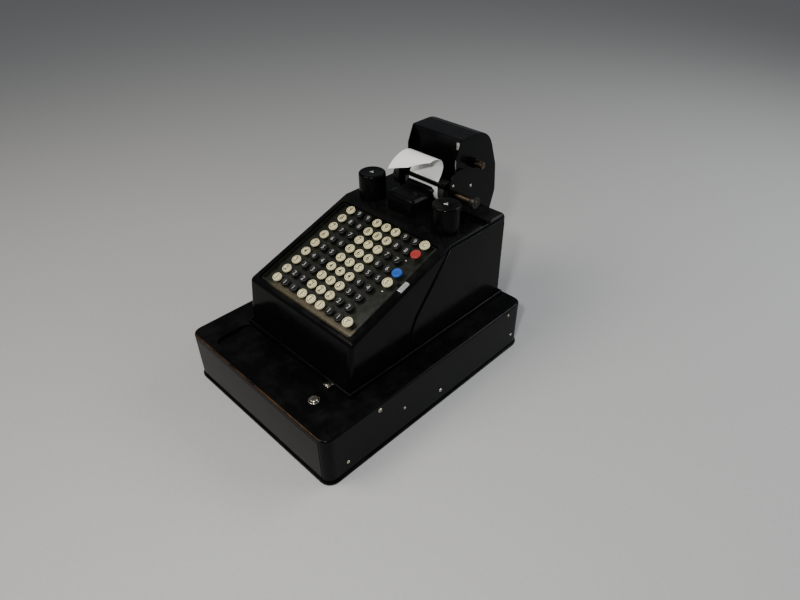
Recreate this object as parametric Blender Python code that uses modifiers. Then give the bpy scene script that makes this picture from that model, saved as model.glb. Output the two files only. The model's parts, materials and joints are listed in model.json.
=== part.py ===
"""Full-keyboard desk adding machine on a cash-drawer base.

Metres, +Z up, +Y to the rear, +X to the operator's right. The origin is the centre of the base's underside.
"""

import math

import bmesh
import bpy
from mathutils import Matrix, Vector

MM = 0.001

# Fits
GAP = 0.3 * MM
RUNNING_GAP = 0.35 * MM
SLIDE_GAP = 0.6 * MM

# Cash-drawer base
BASE_WIDTH = 316.4 * MM
BASE_DEPTH = 410.4 * MM
BASE_HEIGHT = 83 * MM
BASE_PLATE = 4.5 * MM
BASE_LIP = 2.2 * MM
BASE_CORNER = 15 * MM
BASE_EDGE = 3 * MM
BASE_WALL = 1.6 * MM
BASE_POST = 13 * MM
BASE_SILL = 5 * MM
WELL_DEPTH = 4 * MM
WELL_CORNER = 12 * MM
WELL_FRONT_MARGIN = 15.7 * MM
WELL_REAR_MARGIN = 2.5 * MM
WELL_LEFT_MARGIN = 47.5 * MM
WELL_RIGHT_MARGIN = 42.5 * MM

# Drawer
DRAWER_FRONT = 3.2 * MM
DRAWER_WALL = 1.4 * MM
DRAWER_SIDE_CLEARANCE = 16.4 * MM
DRAWER_REAR_CLEARANCE = 60 * MM
DRAWER_DEPTH_INSIDE = 58 * MM
RUNNER_SHEET = 1.5 * MM
RUNNER_HEIGHT = 38 * MM
RUNNER_FOOT = 11 * MM
TRAY_WALL = 2 * MM
TRAY_HEIGHT = 46 * MM
COIN_CUPS = 5
NOTE_BAYS = 4
COIN_CUP_LENGTH = 84 * MM

# Lock
LOCK_RADIUS = 6.5 * MM
LOCK_FROM_FRONT = 41.7 * MM
LOCK_FROM_SIDE = 71.5 * MM
LOCK_CAM = 34 * MM
LOCK_CAM_WIDTH = 8 * MM
LOCK_CAM_SHEET = 3 * MM
LOCK_STRIKE = 24 * MM

# Keyboard
KEY_PITCH = 19.05 * MM
KEY_COLUMNS = 8
KEY_ROWS = 9
KEY_RADIUS = 7.5 * MM
KEY_CAP = 3.6 * MM
KEY_TOP = 1.8 * MM
KEY_STEM_WIDTH = 2.4 * MM
KEY_STEM_LENGTH = 5 * MM
KEY_SHIFT = 4.4 * MM
STEM_TAPER = 0.8
DISH_REACH = 0.62
RAIL_TOP = -13 * MM
RAIL_BOTTOM = -24 * MM
FUNCTION_RADIUS = 8.3 * MM
FUNCTION_RISE = 3.6 * MM
FUNCTION_KEYS = (
    ("total_key", 1), ("subtotal_key", 5), ("non_add_key", 6), ("subtract_key", 8), ("clear_key", 9),
)
TAB_ROW = 5.3
TAB_REACH = 13 * MM
TAB_ARM = 1.5 * MM
TAB_LENGTH = 17 * MM
TAB_WIDTH = 8 * MM
TAB_HEIGHT = 3 * MM
TAB_ABOVE_RIM = 0.7 * MM
TAB_TRAVEL = 8 * MM

# Keyboard plate and its well in the case, measured in the slope
PLATE_SIDE = 21.8 * MM
PLATE_FRONT = 15.6 * MM
PLATE_REAR = 9.5 * MM
PLATE_TOP = -5.6 * MM
PLATE_SHEET = 1.5 * MM
PLATE_RIM = 0.8 * MM
PLATE_CORNER = 5 * MM
GUIDE_TOP = -18.5 * MM
GUIDE_SHEET = 1.5 * MM

# Machine case
SLOPE = math.radians(19.25)
CASE_X = 6.8 * MM
CASE_WALL = 1.6 * MM
CASE_RIM = 14.3 * MM
CASE_FRONT_RIM = 8 * MM
CASE_REAR_RIM = 14 * MM
CASE_FRONT_LEAN = 9.8 * MM
CASE_DECK_DEPTH = 121.5 * MM
CASE_DECK_HEIGHT = 147 * MM
CASE_BEHIND = 13.7 * MM
CASE_EDGE = 6 * MM
CASE_FRONT_ROUND = 9 * MM
CASE_REAR_ROUND = 8 * MM
COVER_SHEET = 2 * MM
PAN_SHEET = 3 * MM
PAN_HEIGHT = 8 * MM
PAN_LIP = 2.4 * MM

# Inner frame and mechanism
FRAME_SHEET = 2 * MM
FRAME_INSET = 5 * MM
MAIN_SHAFT_RADIUS = 5 * MM
MAIN_SHAFT_HEIGHT = 36 * MM
MAIN_SHAFT_FROM_DECK = 44 * MM
CAM_RADIUS = 13 * MM
CAM_WIDTH = 5 * MM
MOTOR_RADIUS = 27 * MM
MOTOR_LENGTH = 46 * MM
REGISTER_RADIUS = 9 * MM
REGISTER_SHAFT = 3.5 * MM
REGISTER_TEETH = 10
REGISTER_HEIGHT = 84 * MM
REGISTER_FROM_DECK = 12 * MM
TYPE_PITCH = 6 * MM
TYPE_WIDTH = 3 * MM
TYPE_DEPTH = 6 * MM
TYPE_LENGTH = 82 * MM
TYPE_FROM_DECK = 50 * MM
COMB_DEPTH = 22 * MM
COMB_SHEET = 3 * MM

# Printing unit on the deck
PRINT_X = 3.3 * MM
PLATEN_RADIUS = 15.5 * MM
PLATEN_WIDTH = 76 * MM
PLATEN_FROM_DECK = 79 * MM
PLATEN_HEIGHT = 21.5 * MM
PLATEN_SHAFT = 4 * MM
PLATEN_SHAFT_RIGHT = 89 * MM
KNOB_RADIUS = 16 * MM
KNOB_WIDTH = 12 * MM
RING_RADIUS = 9 * MM
RING_WIDTH = 8 * MM
TAPE_WIDTH = 57 * MM
TAPE_SHEET = 0.4 * MM
TEAR_BAR = 5 * MM
EAR_SHEET = 3 * MM
EAR_WIDTH = 42 * MM
EAR_HEIGHT = 58 * MM
EAR_ROUND = 19 * MM
SPOOL_COVER_RADIUS = 20.7 * MM
SPOOL_COVER_HEIGHT = 40 * MM
SPOOL_COVER_WALL = 1.4 * MM
SPOOL_FROM_DECK = 23 * MM
SPOOL_LEFT_X = -67.3 * MM
SPOOL_RIGHT_X = 80.7 * MM
SPOOL_RADIUS = 17 * MM
SPOOL_CORE = 9.4 * MM
SPOOL_HEIGHT = 20 * MM
GUARD_WIDTH = 55 * MM
GUARD_FROM_DECK = 11 * MM
GUARD_DEPTH = 45 * MM
GUARD_HEIGHT = 27 * MM
GUARD_WALL = 1.4 * MM
LEVER_LENGTH = 48 * MM
LEVER_WIDTH = 10 * MM
LEVER_NECK = 3.6 * MM
LEVER_THICK = 7 * MM
LEVER_HUB = 8 * MM
LEVER_X = 70 * MM

# Hood over the paper
HOOD_WIDTH = 95 * MM
HOOD_WALL = 1.5 * MM
HOOD_HEIGHT = 101 * MM
HOOD_OVERHANG = 57 * MM
HOOD_FRONT_FROM_DECK = 80 * MM
HOOD_LID = 33 * MM
HOOD_REAR_ROUND = 40 * MM
HOOD_PANEL_BELOW_TOP = 3 * MM
HOOD_PANEL_HEIGHT = 52 * MM
HOOD_LID_FRONT = 91 * MM
ROLL_RADIUS = 22 * MM
ROLL_FROM_DECK = 118 * MM
ROLL_HEIGHT = 59 * MM
SPINDLE_RADIUS = 3.5 * MM
SPINDLE_STUB = 20 * MM

# Places that follow from the sizes above
PLATE_WIDTH = KEY_COLUMNS * KEY_PITCH + 2 * PLATE_SIDE
PLATE_LENGTH = (KEY_ROWS - 1) * KEY_PITCH + PLATE_FRONT + PLATE_REAR
SLOPE_LENGTH = CASE_FRONT_RIM + PLATE_LENGTH + CASE_REAR_RIM
SLOPE_RUN = SLOPE_LENGTH * math.cos(SLOPE)
CASE_DEPTH = CASE_FRONT_LEAN + SLOPE_RUN + CASE_DECK_DEPTH
CASE_OUTER = PLATE_WIDTH + 2 * CASE_RIM
CASE_BODY = CASE_OUTER - 2 * (COVER_SHEET + GAP)
CASE_LEFT = CASE_X - CASE_BODY / 2
CASE_RIGHT = CASE_X + CASE_BODY / 2
CASE_REAR_Y = BASE_DEPTH / 2 - CASE_BEHIND
CASE_FRONT_Y = CASE_REAR_Y - CASE_DEPTH
DECK_Y = CASE_REAR_Y - CASE_DECK_DEPTH
PAN_Z = BASE_HEIGHT + GAP
CASE_Z = PAN_Z + PAN_SHEET + GAP
DECK_Z = BASE_HEIGHT + CASE_DECK_HEIGHT
TOP_Z = DECK_Z + GAP
KEY_FIRST_X = CASE_X + KEY_SHIFT - KEY_COLUMNS * KEY_PITCH / 2
KEY_FIRST_V = CASE_FRONT_RIM + PLATE_FRONT - SLOPE_LENGTH
FRAME_LEFT_X = CASE_LEFT + CASE_WALL + FRAME_INSET
FRAME_RIGHT_X = CASE_RIGHT - CASE_WALL - FRAME_INSET
PLATEN_Y = DECK_Y + PLATEN_FROM_DECK
PLATEN_Z = DECK_Z + PLATEN_HEIGHT
HOOD_LEFT = PRINT_X - HOOD_WIDTH / 2
HOOD_RIGHT = PRINT_X + HOOD_WIDTH / 2
HOOD_TOP = DECK_Z + HOOD_HEIGHT
ROLL_Y = DECK_Y + ROLL_FROM_DECK
ROLL_Z = DECK_Z + ROLL_HEIGHT
COVER_WIDTH = BASE_WIDTH - 2 * BASE_LIP
COVER_DEPTH = BASE_DEPTH - 2 * BASE_LIP
COVER_Z = BASE_PLATE + GAP
OPENING_WIDTH = COVER_WIDTH - 2 * BASE_POST
OPENING_LOW = COVER_Z + BASE_SILL - 1.5 * MM
OPENING_HIGH = BASE_HEIGHT - BASE_SILL - 1.5 * MM
DRAWER_WIDTH = COVER_WIDTH - 2 * DRAWER_SIDE_CLEARANCE
DRAWER_FRONT_Y = -COVER_DEPTH / 2
DRAWER_BOX_FRONT_Y = DRAWER_FRONT_Y + DRAWER_FRONT + GAP
DRAWER_BOX_REAR_Y = COVER_DEPTH / 2 - DRAWER_REAR_CLEARANCE
DRAWER_Z = OPENING_LOW + SLIDE_GAP
DRAWER_TOP = DRAWER_Z + DRAWER_DEPTH_INSIDE
LOCK_X = COVER_WIDTH / 2 - LOCK_FROM_SIDE
LOCK_Y = DRAWER_FRONT_Y + LOCK_FROM_FRONT
WELL_FLOOR = BASE_HEIGHT - WELL_DEPTH
CAM_Z = WELL_FLOOR - BASE_WALL - 4 * MM - LOCK_CAM_SHEET

CURVE_STEPS = 5
ROUND_SIDES = 24
SMALL_SIDES = 12


# ---------------------------------------------------------------- materials


def material(name, colour, roughness, metallic=0.0):
    made = bpy.data.materials.new(name)
    made.use_nodes = True
    shader = made.node_tree.nodes["Principled BSDF"]
    shader.inputs["Base Color"].default_value = (*colour, 1.0)
    shader.inputs["Roughness"].default_value = roughness
    shader.inputs["Metallic"].default_value = metallic
    made.diffuse_color = (*colour, 1.0)
    return made


def start_scene():
    for old in list(bpy.data.objects):
        bpy.data.objects.remove(old, do_unlink=True)
    parts = bpy.data.collections.new("adding_machine")
    cutters = bpy.data.collections.new("cutters")
    for collection in (parts, cutters):
        bpy.context.scene.collection.children.link(collection)
    return parts, cutters


PARTS, CUTTERS = start_scene()
ENAMEL = material("black_enamel", (0.006, 0.006, 0.007), 0.18)
PLATE_GREEN = material("green_enamel", (0.035, 0.045, 0.022), 0.45)
IVORY = material("ivory_key_plastic", (0.74, 0.71, 0.53), 0.3)
BLACK_KEY = material("black_key_plastic", (0.012, 0.012, 0.012), 0.3)
RED_KEY = material("red_key_plastic", (0.42, 0.045, 0.045), 0.3)
BLUE_KEY = material("blue_key_plastic", (0.03, 0.13, 0.47), 0.3)
STEEL = material("steel", (0.55, 0.55, 0.56), 0.35, 1.0)
NICKEL = material("nickel", (0.75, 0.73, 0.68), 0.2, 1.0)
BRASS = material("aged_brass", (0.35, 0.22, 0.12), 0.4, 1.0)
RUBBER = material("platen_rubber", (0.015, 0.015, 0.015), 0.6)
PAPER = material("paper", (0.86, 0.85, 0.82), 0.8)
TRAY = material("tray_steel", (0.06, 0.07, 0.065), 0.5, 0.6)


# ---------------------------------------------------------------- shapes


def mesh_object(name, bm, finish=None):
    """A new object from a bmesh; with a finish it is a part, without one a cutter or a shape to join."""
    mesh = bpy.data.meshes.new(name)
    bmesh.ops.recalc_face_normals(bm, faces=bm.faces)
    bm.to_mesh(mesh)
    bm.free()
    made = bpy.data.objects.new(name, mesh)
    if finish is None:
        made.hide_render = True
        made.display_type = "WIRE"
        CUTTERS.objects.link(made)
        return made
    mesh.materials.append(finish)
    mesh.shade_smooth()
    mesh.set_sharp_from_angle(angle=math.radians(35))
    PARTS.objects.link(made)
    return made


def box(name, low, high, finish=None):
    bm = bmesh.new()
    bmesh.ops.create_cube(bm, size=1.0)
    low = Vector(low)
    high = Vector(high)
    bmesh.ops.scale(bm, vec=high - low, verts=bm.verts)
    bmesh.ops.translate(bm, vec=(high + low) / 2, verts=bm.verts)
    return mesh_object(name, bm, finish)


TURN = {
    "X": Matrix(((0, 0, 1), (1, 0, 0), (0, 1, 0))),
    "Y": Matrix(((0, 1, 0), (0, 0, 1), (1, 0, 0))),
    "Z": Matrix.Identity(3),
}


def rod(name, axis, start, end, radius, finish=None, sides=ROUND_SIDES, end_radius=None):
    """A round bar along a world axis, from the point start to the coordinate end on that axis."""
    along = "XYZ".index(axis)
    bm = bmesh.new()
    bmesh.ops.create_cone(
        bm,
        cap_ends=True,
        segments=sides,
        radius1=radius,
        radius2=radius if end_radius is None else end_radius,
        depth=end - start[along],
    )
    bmesh.ops.rotate(bm, matrix=TURN[axis], verts=bm.verts)
    centre = Vector(start)
    centre[along] = (start[along] + end) / 2
    bmesh.ops.translate(bm, vec=centre, verts=bm.verts)
    return mesh_object(name, bm, finish)


def rounded(corners, steps=CURVE_STEPS):
    """The outline through corners (u, v, radius), each corner of some radius drawn as an arc."""
    outline = []
    for index, (u, v, radius) in enumerate(corners):
        here = Vector((u, v))
        if radius <= 0:
            outline.append(here)
            continue
        before = (Vector(corners[index - 1][:2]) - here).normalized()
        after = (Vector(corners[(index + 1) % len(corners)][:2]) - here).normalized()
        half = before.angle(after) / 2
        middle = here + (before + after).normalized() * (radius / math.sin(half))
        first = here + before * (radius / math.tan(half)) - middle
        last = here + after * (radius / math.tan(half)) - middle
        sweep = first.angle_signed(last)
        for step in range(steps + 1):
            outline.append(middle + Matrix.Rotation(-sweep * step / steps, 2) @ first)
    return [tuple(point) for point in outline]


def rounded_box_outline(u_low, v_low, u_high, v_high, radius):
    corners = ((u_low, v_low), (u_high, v_low), (u_high, v_high), (u_low, v_high))
    return rounded([(u, v, radius) for u, v in corners])


def prism(name, axis, outline, low, high, finish=None):
    """A flat outline given thickness along a world axis. It lies in (y, z), (z, x) or (x, y)."""
    curve = bpy.data.curves.new(name, "CURVE")
    curve.dimensions = "2D"
    curve.fill_mode = "BOTH"
    curve.extrude = (high - low) / 2
    spline = curve.splines.new("POLY")
    spline.points.add(len(outline) - 1)
    for point, (u, v) in zip(spline.points, outline):
        point.co = (u, v, 0, 1)
    spline.use_cyclic_u = True
    flat = bpy.data.objects.new(name + "_outline", curve)
    CUTTERS.objects.link(flat)
    mesh = bpy.data.meshes.new_from_object(flat.evaluated_get(bpy.context.evaluated_depsgraph_get()))
    bpy.data.objects.remove(flat, do_unlink=True)
    bm = bmesh.new()
    bm.from_mesh(mesh)
    bmesh.ops.remove_doubles(bm, verts=bm.verts, dist=0.00002)
    bmesh.ops.dissolve_limit(bm, angle_limit=math.radians(0.5), verts=bm.verts, edges=bm.edges)
    shift = Vector((0, 0, 0))
    shift["XYZ".index(axis)] = (low + high) / 2
    bmesh.ops.rotate(bm, matrix=TURN[axis], verts=bm.verts)
    bmesh.ops.translate(bm, vec=shift, verts=bm.verts)
    return mesh_object(name, bm, finish)


def round_edges(piece, radius, chosen, segments=3):
    """Rounds the sharp edges for which chosen(middle, direction) holds."""
    bm = bmesh.new()
    bm.from_mesh(piece.data)
    edges = []
    for edge in bm.edges:
        start, end = (vert.co for vert in edge.verts)
        if edge.calc_face_angle(0) > math.radians(30) and chosen((start + end) / 2, (end - start).normalized()):
            edges.append(edge)
    bmesh.ops.bevel(bm, geom=edges, offset=radius, segments=segments, profile=0.5, affect="EDGES", clamp_overlap=True)
    bmesh.ops.recalc_face_normals(bm, faces=bm.faces)
    bm.to_mesh(piece.data)
    bm.free()
    piece.data.shade_smooth()
    piece.data.set_sharp_from_angle(angle=math.radians(35))
    return piece


def across(direction, axis):
    """Whether an edge runs square to a world axis."""
    return abs(direction["XYZ".index(axis)]) < 0.01


def boolean(piece, other, operation):
    step = piece.modifiers.new(operation.lower() + "_" + other.name, "BOOLEAN")
    step.operation = operation
    step.object = other
    step.solver = "EXACT"


def cut(piece, *others):
    for other in others:
        boolean(piece, other, "DIFFERENCE")
    return piece


def join(piece, *others):
    for other in others:
        boolean(piece, other, "UNION")
    return piece


def gathered(name, pieces):
    """Several cutters or shapes that don't touch, as one."""
    bm = bmesh.new()
    for piece in pieces:
        bm.from_mesh(piece.data)
        bpy.data.objects.remove(piece, do_unlink=True)
    return mesh_object(name, bm)


def hang_on(frame, piece):
    """Parents a piece, and the shapes that cut or join it, to a frame."""
    piece.parent = frame
    for step in piece.modifiers:
        step.object.parent = frame


def set_origin(piece, point):
    """Moves a piece's origin to a point on its joint's axis, and leaves the piece where it is."""
    piece.data.transform(Matrix.Translation(-Vector(point)))
    piece.location = point
    return piece


def turned(name, axis, profile, origin, finish=None, sides=ROUND_SIDES):
    """A turned piece: a profile of (radius, height) from top to bottom on its outer side, about an axis."""
    mesh = bpy.data.meshes.new(name)
    rim = [Vector((radius, 0, height)) for radius, height in profile]
    closed = profile[0][0] > 0
    edges = [(i, i + 1) for i in range(len(rim) - 1)]
    if closed:
        edges.append((len(rim) - 1, 0))
    mesh.from_pydata(rim, edges, [])
    made = bpy.data.objects.new(name, mesh)
    CUTTERS.objects.link(made)
    screw = made.modifiers.new("turn", "SCREW")
    screw.axis = "Z"
    screw.steps = sides
    screw.render_steps = sides
    screw.use_merge_vertices = True
    screw.merge_threshold = 0.00001
    solid = bpy.data.meshes.new_from_object(made.evaluated_get(bpy.context.evaluated_depsgraph_get()))
    bpy.data.objects.remove(made, do_unlink=True)
    bm = bmesh.new()
    bm.from_mesh(solid)
    bmesh.ops.remove_doubles(bm, verts=bm.verts, dist=0.00001)
    bmesh.ops.rotate(bm, matrix=TURN[axis], verts=bm.verts)
    bmesh.ops.translate(bm, vec=origin, verts=bm.verts)
    return mesh_object(name, bm, finish)


# ---------------------------------------------------------------- cash-drawer base


def base_plate():
    half_x = BASE_WIDTH / 2
    half_y = BASE_DEPTH / 2
    outline = rounded_box_outline(-half_x, -half_y, half_x, half_y, BASE_CORNER + BASE_LIP)
    prism("base_plate", "Z", outline, 0, BASE_PLATE, ENAMEL)


def base_cover():
    half_x = COVER_WIDTH / 2
    half_y = COVER_DEPTH / 2
    outline = rounded_box_outline(-half_x, -half_y, half_x, half_y, BASE_CORNER)
    cover = prism("base_cover", "Z", outline, COVER_Z, BASE_HEIGHT, ENAMEL)
    round_edges(cover, BASE_EDGE, lambda middle, way: across(way, "Z") and middle.z > BASE_HEIGHT - GAP)
    inner = rounded_box_outline(
        BASE_WALL - half_x, BASE_WALL - half_y, half_x - BASE_WALL, half_y - BASE_WALL, BASE_CORNER - BASE_WALL
    )
    cavity = prism("cover_cavity", "Z", inner, 0, BASE_HEIGHT - BASE_WALL)
    round_edges(cavity, BASE_EDGE / 2, lambda middle, way: across(way, "Z") and middle.z > BASE_PLATE)
    well_left = BASE_WIDTH / 2 - WELL_LEFT_MARGIN
    well_right = BASE_WIDTH / 2 - WELL_RIGHT_MARGIN
    well_front = WELL_FRONT_MARGIN - BASE_DEPTH / 2
    well_rear = CASE_FRONT_Y - WELL_REAR_MARGIN
    skin = BASE_WALL
    under = rounded_box_outline(
        -well_left - skin, well_front - skin, well_right + skin, well_rear + skin, WELL_CORNER + skin
    )
    cut(cavity, prism("well_under", "Z", under, WELL_FLOOR - BASE_WALL, BASE_HEIGHT + BASE_WALL))
    well = prism(
        "well",
        "Z",
        rounded_box_outline(-well_left, well_front, well_right, well_rear, WELL_CORNER),
        WELL_FLOOR,
        BASE_HEIGHT + BASE_WALL,
    )
    opening = box(
        "drawer_opening",
        (-OPENING_WIDTH / 2, -half_y - BASE_WALL, OPENING_LOW),
        (OPENING_WIDTH / 2, -half_y + 3 * BASE_WALL, OPENING_HIGH),
    )
    lock_hole = rod("lock_hole", "Z", (LOCK_X, LOCK_Y, CAM_Z), BASE_HEIGHT + BASE_WALL, LOCK_RADIUS + RUNNING_GAP)
    cut(cover, cavity, well, opening, lock_hole)


def drawer():
    front_half = OPENING_WIDTH / 2 - SLIDE_GAP
    front = box(
        "drawer_front",
        (-front_half, DRAWER_FRONT_Y, OPENING_LOW + SLIDE_GAP),
        (front_half, DRAWER_FRONT_Y + DRAWER_FRONT, OPENING_HIGH - SLIDE_GAP),
        ENAMEL,
    )
    round_edges(front, 0.8 * MM, lambda middle, way: middle.y < DRAWER_FRONT_Y + GAP, segments=2)
    half = DRAWER_WIDTH / 2
    body = box("drawer_box", (-half, DRAWER_BOX_FRONT_Y, DRAWER_Z), (half, DRAWER_BOX_REAR_Y, DRAWER_TOP), STEEL)
    inside = box(
        "drawer_inside",
        (DRAWER_WALL - half, DRAWER_BOX_FRONT_Y + DRAWER_WALL, DRAWER_Z + DRAWER_WALL),
        (half - DRAWER_WALL, DRAWER_BOX_REAR_Y - DRAWER_WALL, DRAWER_TOP + DRAWER_WALL),
    )
    strike_y = LOCK_Y + LOCK_CAM_WIDTH / 2 + 1.5 * MM
    strike = box(
        "lock_strike",
        (half - LOCK_STRIKE, strike_y, DRAWER_TOP - 6 * MM),
        (half - DRAWER_WALL / 2, strike_y + 3 * MM, CAM_Z + LOCK_CAM_SHEET - GAP),
    )
    join(cut(body, inside), strike)


def cash_trays():
    """A coin tray of cups in front and a note tray of bays behind it, each lifted out by hand."""
    half = DRAWER_WIDTH / 2 - DRAWER_WALL - SLIDE_GAP
    front = DRAWER_BOX_FRONT_Y + DRAWER_WALL + SLIDE_GAP
    middle = front + COIN_CUP_LENGTH + 2 * TRAY_WALL
    rear = DRAWER_BOX_REAR_Y - DRAWER_WALL - SLIDE_GAP
    low = DRAWER_Z + DRAWER_WALL + GAP
    high = low + TRAY_HEIGHT
    for name, count, y_low, y_high in (
        ("coin_tray", COIN_CUPS, front, middle),
        ("note_tray", NOTE_BAYS, middle + SLIDE_GAP, rear),
    ):
        tray = box(name, (-half, y_low, low), (half, y_high, high), TRAY)
        width = (2 * half - (count + 1) * TRAY_WALL) / count
        bays = []
        for place in range(count):
            x_low = -half + TRAY_WALL + place * (width + TRAY_WALL)
            near = (x_low, y_low + TRAY_WALL, low + TRAY_WALL)
            far = (x_low + width, y_high - TRAY_WALL, high + TRAY_WALL)
            bays.append(box("bay", near, far))
        cut(tray, gathered(name + "_bays", bays))


def drawer_runners():
    for name, side in (("drawer_runner_left", -1), ("drawer_runner_right", 1)):
        web = DRAWER_WIDTH / 2 + SLIDE_GAP
        foot = OPENING_LOW
        outline = [
            (COVER_Z, side * (web - RUNNER_FOOT)),
            (COVER_Z, side * (web + RUNNER_SHEET + RUNNER_FOOT / 2)),
            (foot, side * (web + RUNNER_SHEET + RUNNER_FOOT / 2)),
            (foot, side * (web + RUNNER_SHEET)),
            (COVER_Z + RUNNER_HEIGHT, side * (web + RUNNER_SHEET)),
            (COVER_Z + RUNNER_HEIGHT, side * web),
            (foot, side * web),
            (foot, side * (web - RUNNER_FOOT)),
        ]
        prism(name, "Y", outline, DRAWER_BOX_FRONT_Y + DRAWER_WALL, COVER_DEPTH / 2 - 6 * MM, STEEL)


def lock():
    """The barrel turns in the well's floor, and the cam on its foot swings in front of the drawer's strike."""
    centre = (LOCK_X, LOCK_Y, 0)
    top = BASE_HEIGHT - GAP
    head = LOCK_RADIUS - RUNNING_GAP
    profile = [
        (0, top), (head - 1 * MM, top), (head, top - 1 * MM), (head, CAM_Z), (0, CAM_Z),
    ]
    barrel = turned("lock_barrel", "Z", profile, centre, NICKEL)
    cam = box(
        "lock_cam",
        (LOCK_X - LOCK_CAM_WIDTH / 2, LOCK_Y - LOCK_CAM, CAM_Z),
        (LOCK_X + LOCK_CAM_WIDTH / 2, LOCK_Y, CAM_Z + LOCK_CAM_SHEET),
    )
    keyway = box(
        "keyway",
        (LOCK_X - 0.7 * MM, LOCK_Y - 3 * MM, top - 4 * MM),
        (LOCK_X + 0.7 * MM, LOCK_Y + 3 * MM, top + 1 * MM),
    )
    cut(join(barrel, cam), keyway)
    set_origin(barrel, (LOCK_X, LOCK_Y, top))


# ---------------------------------------------------------------- machine case


def case_outline(inset, top_round, rear_round, floor):
    """The case's side view as (y, z) corners, drawn in by inset all round except at the floor."""
    front_low = CASE_FRONT_Y + inset
    front_high = CASE_FRONT_Y + CASE_FRONT_LEAN + inset
    deck = DECK_Z - inset
    bend = DECK_Y - inset * math.tan(SLOPE / 2)
    front_top = deck - (bend - front_high) * math.tan(SLOPE)
    rear = CASE_REAR_Y - inset
    return rounded([
        (front_low, floor, 0),
        (rear, floor, 0),
        (rear, deck, rear_round),
        (bend, deck, 0),
        (front_high, front_top, top_round),
    ])


def machine_pan():
    lip = PAN_LIP + GAP
    x_low = CASE_LEFT - COVER_SHEET - GAP - lip
    x_high = CASE_RIGHT + COVER_SHEET + GAP + lip
    y_low = CASE_FRONT_Y - lip
    y_high = CASE_REAR_Y + lip
    pan = box("machine_pan", (x_low, y_low, PAN_Z), (x_high, y_high, PAN_Z + PAN_HEIGHT), ENAMEL)
    round_edges(pan, 1.5 * MM, lambda middle, way: middle.z > PAN_Z + GAP, segments=2)
    inside = box(
        "pan_inside",
        (x_low + PAN_LIP, y_low + PAN_LIP, PAN_Z + PAN_SHEET),
        (x_high - PAN_LIP, y_high - PAN_LIP, PAN_Z + 2 * PAN_HEIGHT),
    )
    cut(pan, inside)


def machine_case(keyboard):
    case = prism(
        "machine_case", "X", case_outline(0, CASE_FRONT_ROUND, CASE_REAR_ROUND, CASE_Z), CASE_LEFT, CASE_RIGHT, ENAMEL
    )
    round_edges(case, CASE_EDGE, lambda middle, way: across(way, "X") and middle.z > CASE_Z + GAP)
    cavity = prism(
        "case_cavity",
        "X",
        case_outline(CASE_WALL, CASE_FRONT_ROUND - CASE_WALL, CASE_REAR_ROUND - CASE_WALL, CASE_Z - CASE_WALL),
        CASE_LEFT + CASE_WALL,
        CASE_RIGHT - CASE_WALL,
    )
    round_edges(cavity, CASE_EDGE - CASE_WALL, lambda middle, way: across(way, "X") and middle.z > CASE_Z + GAP)
    half = PLATE_WIDTH / 2
    rear = -CASE_REAR_RIM
    front = CASE_FRONT_RIM - SLOPE_LENGTH
    well = prism(
        "keyboard_well",
        "Z",
        rounded_box_outline(CASE_X - half, front, CASE_X + half, rear, PLATE_CORNER),
        -3 * CASE_WALL,
        3 * CASE_WALL,
    )
    well.parent = keyboard
    print_hole = box(
        "print_hole",
        (PRINT_X - GUARD_WIDTH / 2 + 2 * GUARD_WALL, DECK_Y + GUARD_FROM_DECK + 2 * GUARD_WALL, DECK_Z - 3 * CASE_WALL),
        (PRINT_X + GUARD_WIDTH / 2 - 2 * GUARD_WALL, PLATEN_Y - PLATEN_RADIUS, DECK_Z + CASE_WALL),
    )
    cut(case, cavity, well, print_hole)


def side_covers():
    """Thin covers over the rear of each side; the front edge slants back and ends in a round corner."""
    inset = 1.0 * MM
    foot = CASE_Z + 6 * MM
    bend = DECK_Y - inset
    lean = 80 * MM
    outline = rounded([
        (bend - lean + 12 * MM, foot, 0),
        (CASE_REAR_Y - CASE_EDGE, foot, 4 * MM),
        (CASE_REAR_Y - CASE_EDGE, DECK_Z - CASE_EDGE, CASE_REAR_ROUND),
        (bend - 3 * MM, DECK_Z - CASE_EDGE, 2 * MM),
        (bend - lean, foot + 40 * MM, 60 * MM),
        (bend - lean, foot + 14 * MM, 6 * MM),
    ])
    for name, low in (
        ("side_cover_left", CASE_LEFT - GAP - COVER_SHEET),
        ("side_cover_right", CASE_RIGHT + GAP),
    ):
        cover = prism(name, "X", outline, low, low + COVER_SHEET, ENAMEL)
        outside = CASE_X + (COVER_SHEET + GAP + CASE_BODY / 2) * (1 if low > CASE_X else -1)
        round_edges(
            cover,
            1.2 * MM,
            lambda middle, way, edge=outside: across(way, "X") and abs(middle.x - edge) < GAP,
            segments=2,
        )


# ---------------------------------------------------------------- keyboard


def keyboard_frame():
    """An empty on the slope's top edge: its Y runs up the slope and its Z stands square on it."""
    empty = bpy.data.objects.new("keyboard", None)
    CUTTERS.objects.link(empty)
    empty.location = (0, DECK_Y, DECK_Z)
    empty.rotation_euler = (SLOPE, 0, 0)
    return empty


def key_place(column, row):
    return KEY_FIRST_X + (column - 1) * KEY_PITCH, KEY_FIRST_V + (row - 1) * KEY_PITCH


def key_cap(name, x, v, radius, top, finish=None):
    """A cap with a rounded shoulder and a shallow dish for the finger."""
    shoulder = 0.9 * MM
    dish = 0.5 * MM
    profile = [
        (0, top - dish), (radius * DISH_REACH, top - dish / 2), (radius - shoulder, top),
        (radius, top - shoulder), (radius, top - KEY_CAP), (0, top - KEY_CAP),
    ]
    return turned(name, "Z", profile, (x, v, 0), finish, sides=SMALL_SIDES)


def key_stem(name, x, v, top, low):
    half_x = KEY_STEM_WIDTH / 2
    half_v = KEY_STEM_LENGTH / 2
    return box(name, (x - half_x, v - half_v, low), (x + half_x, v + half_v, top))


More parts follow.
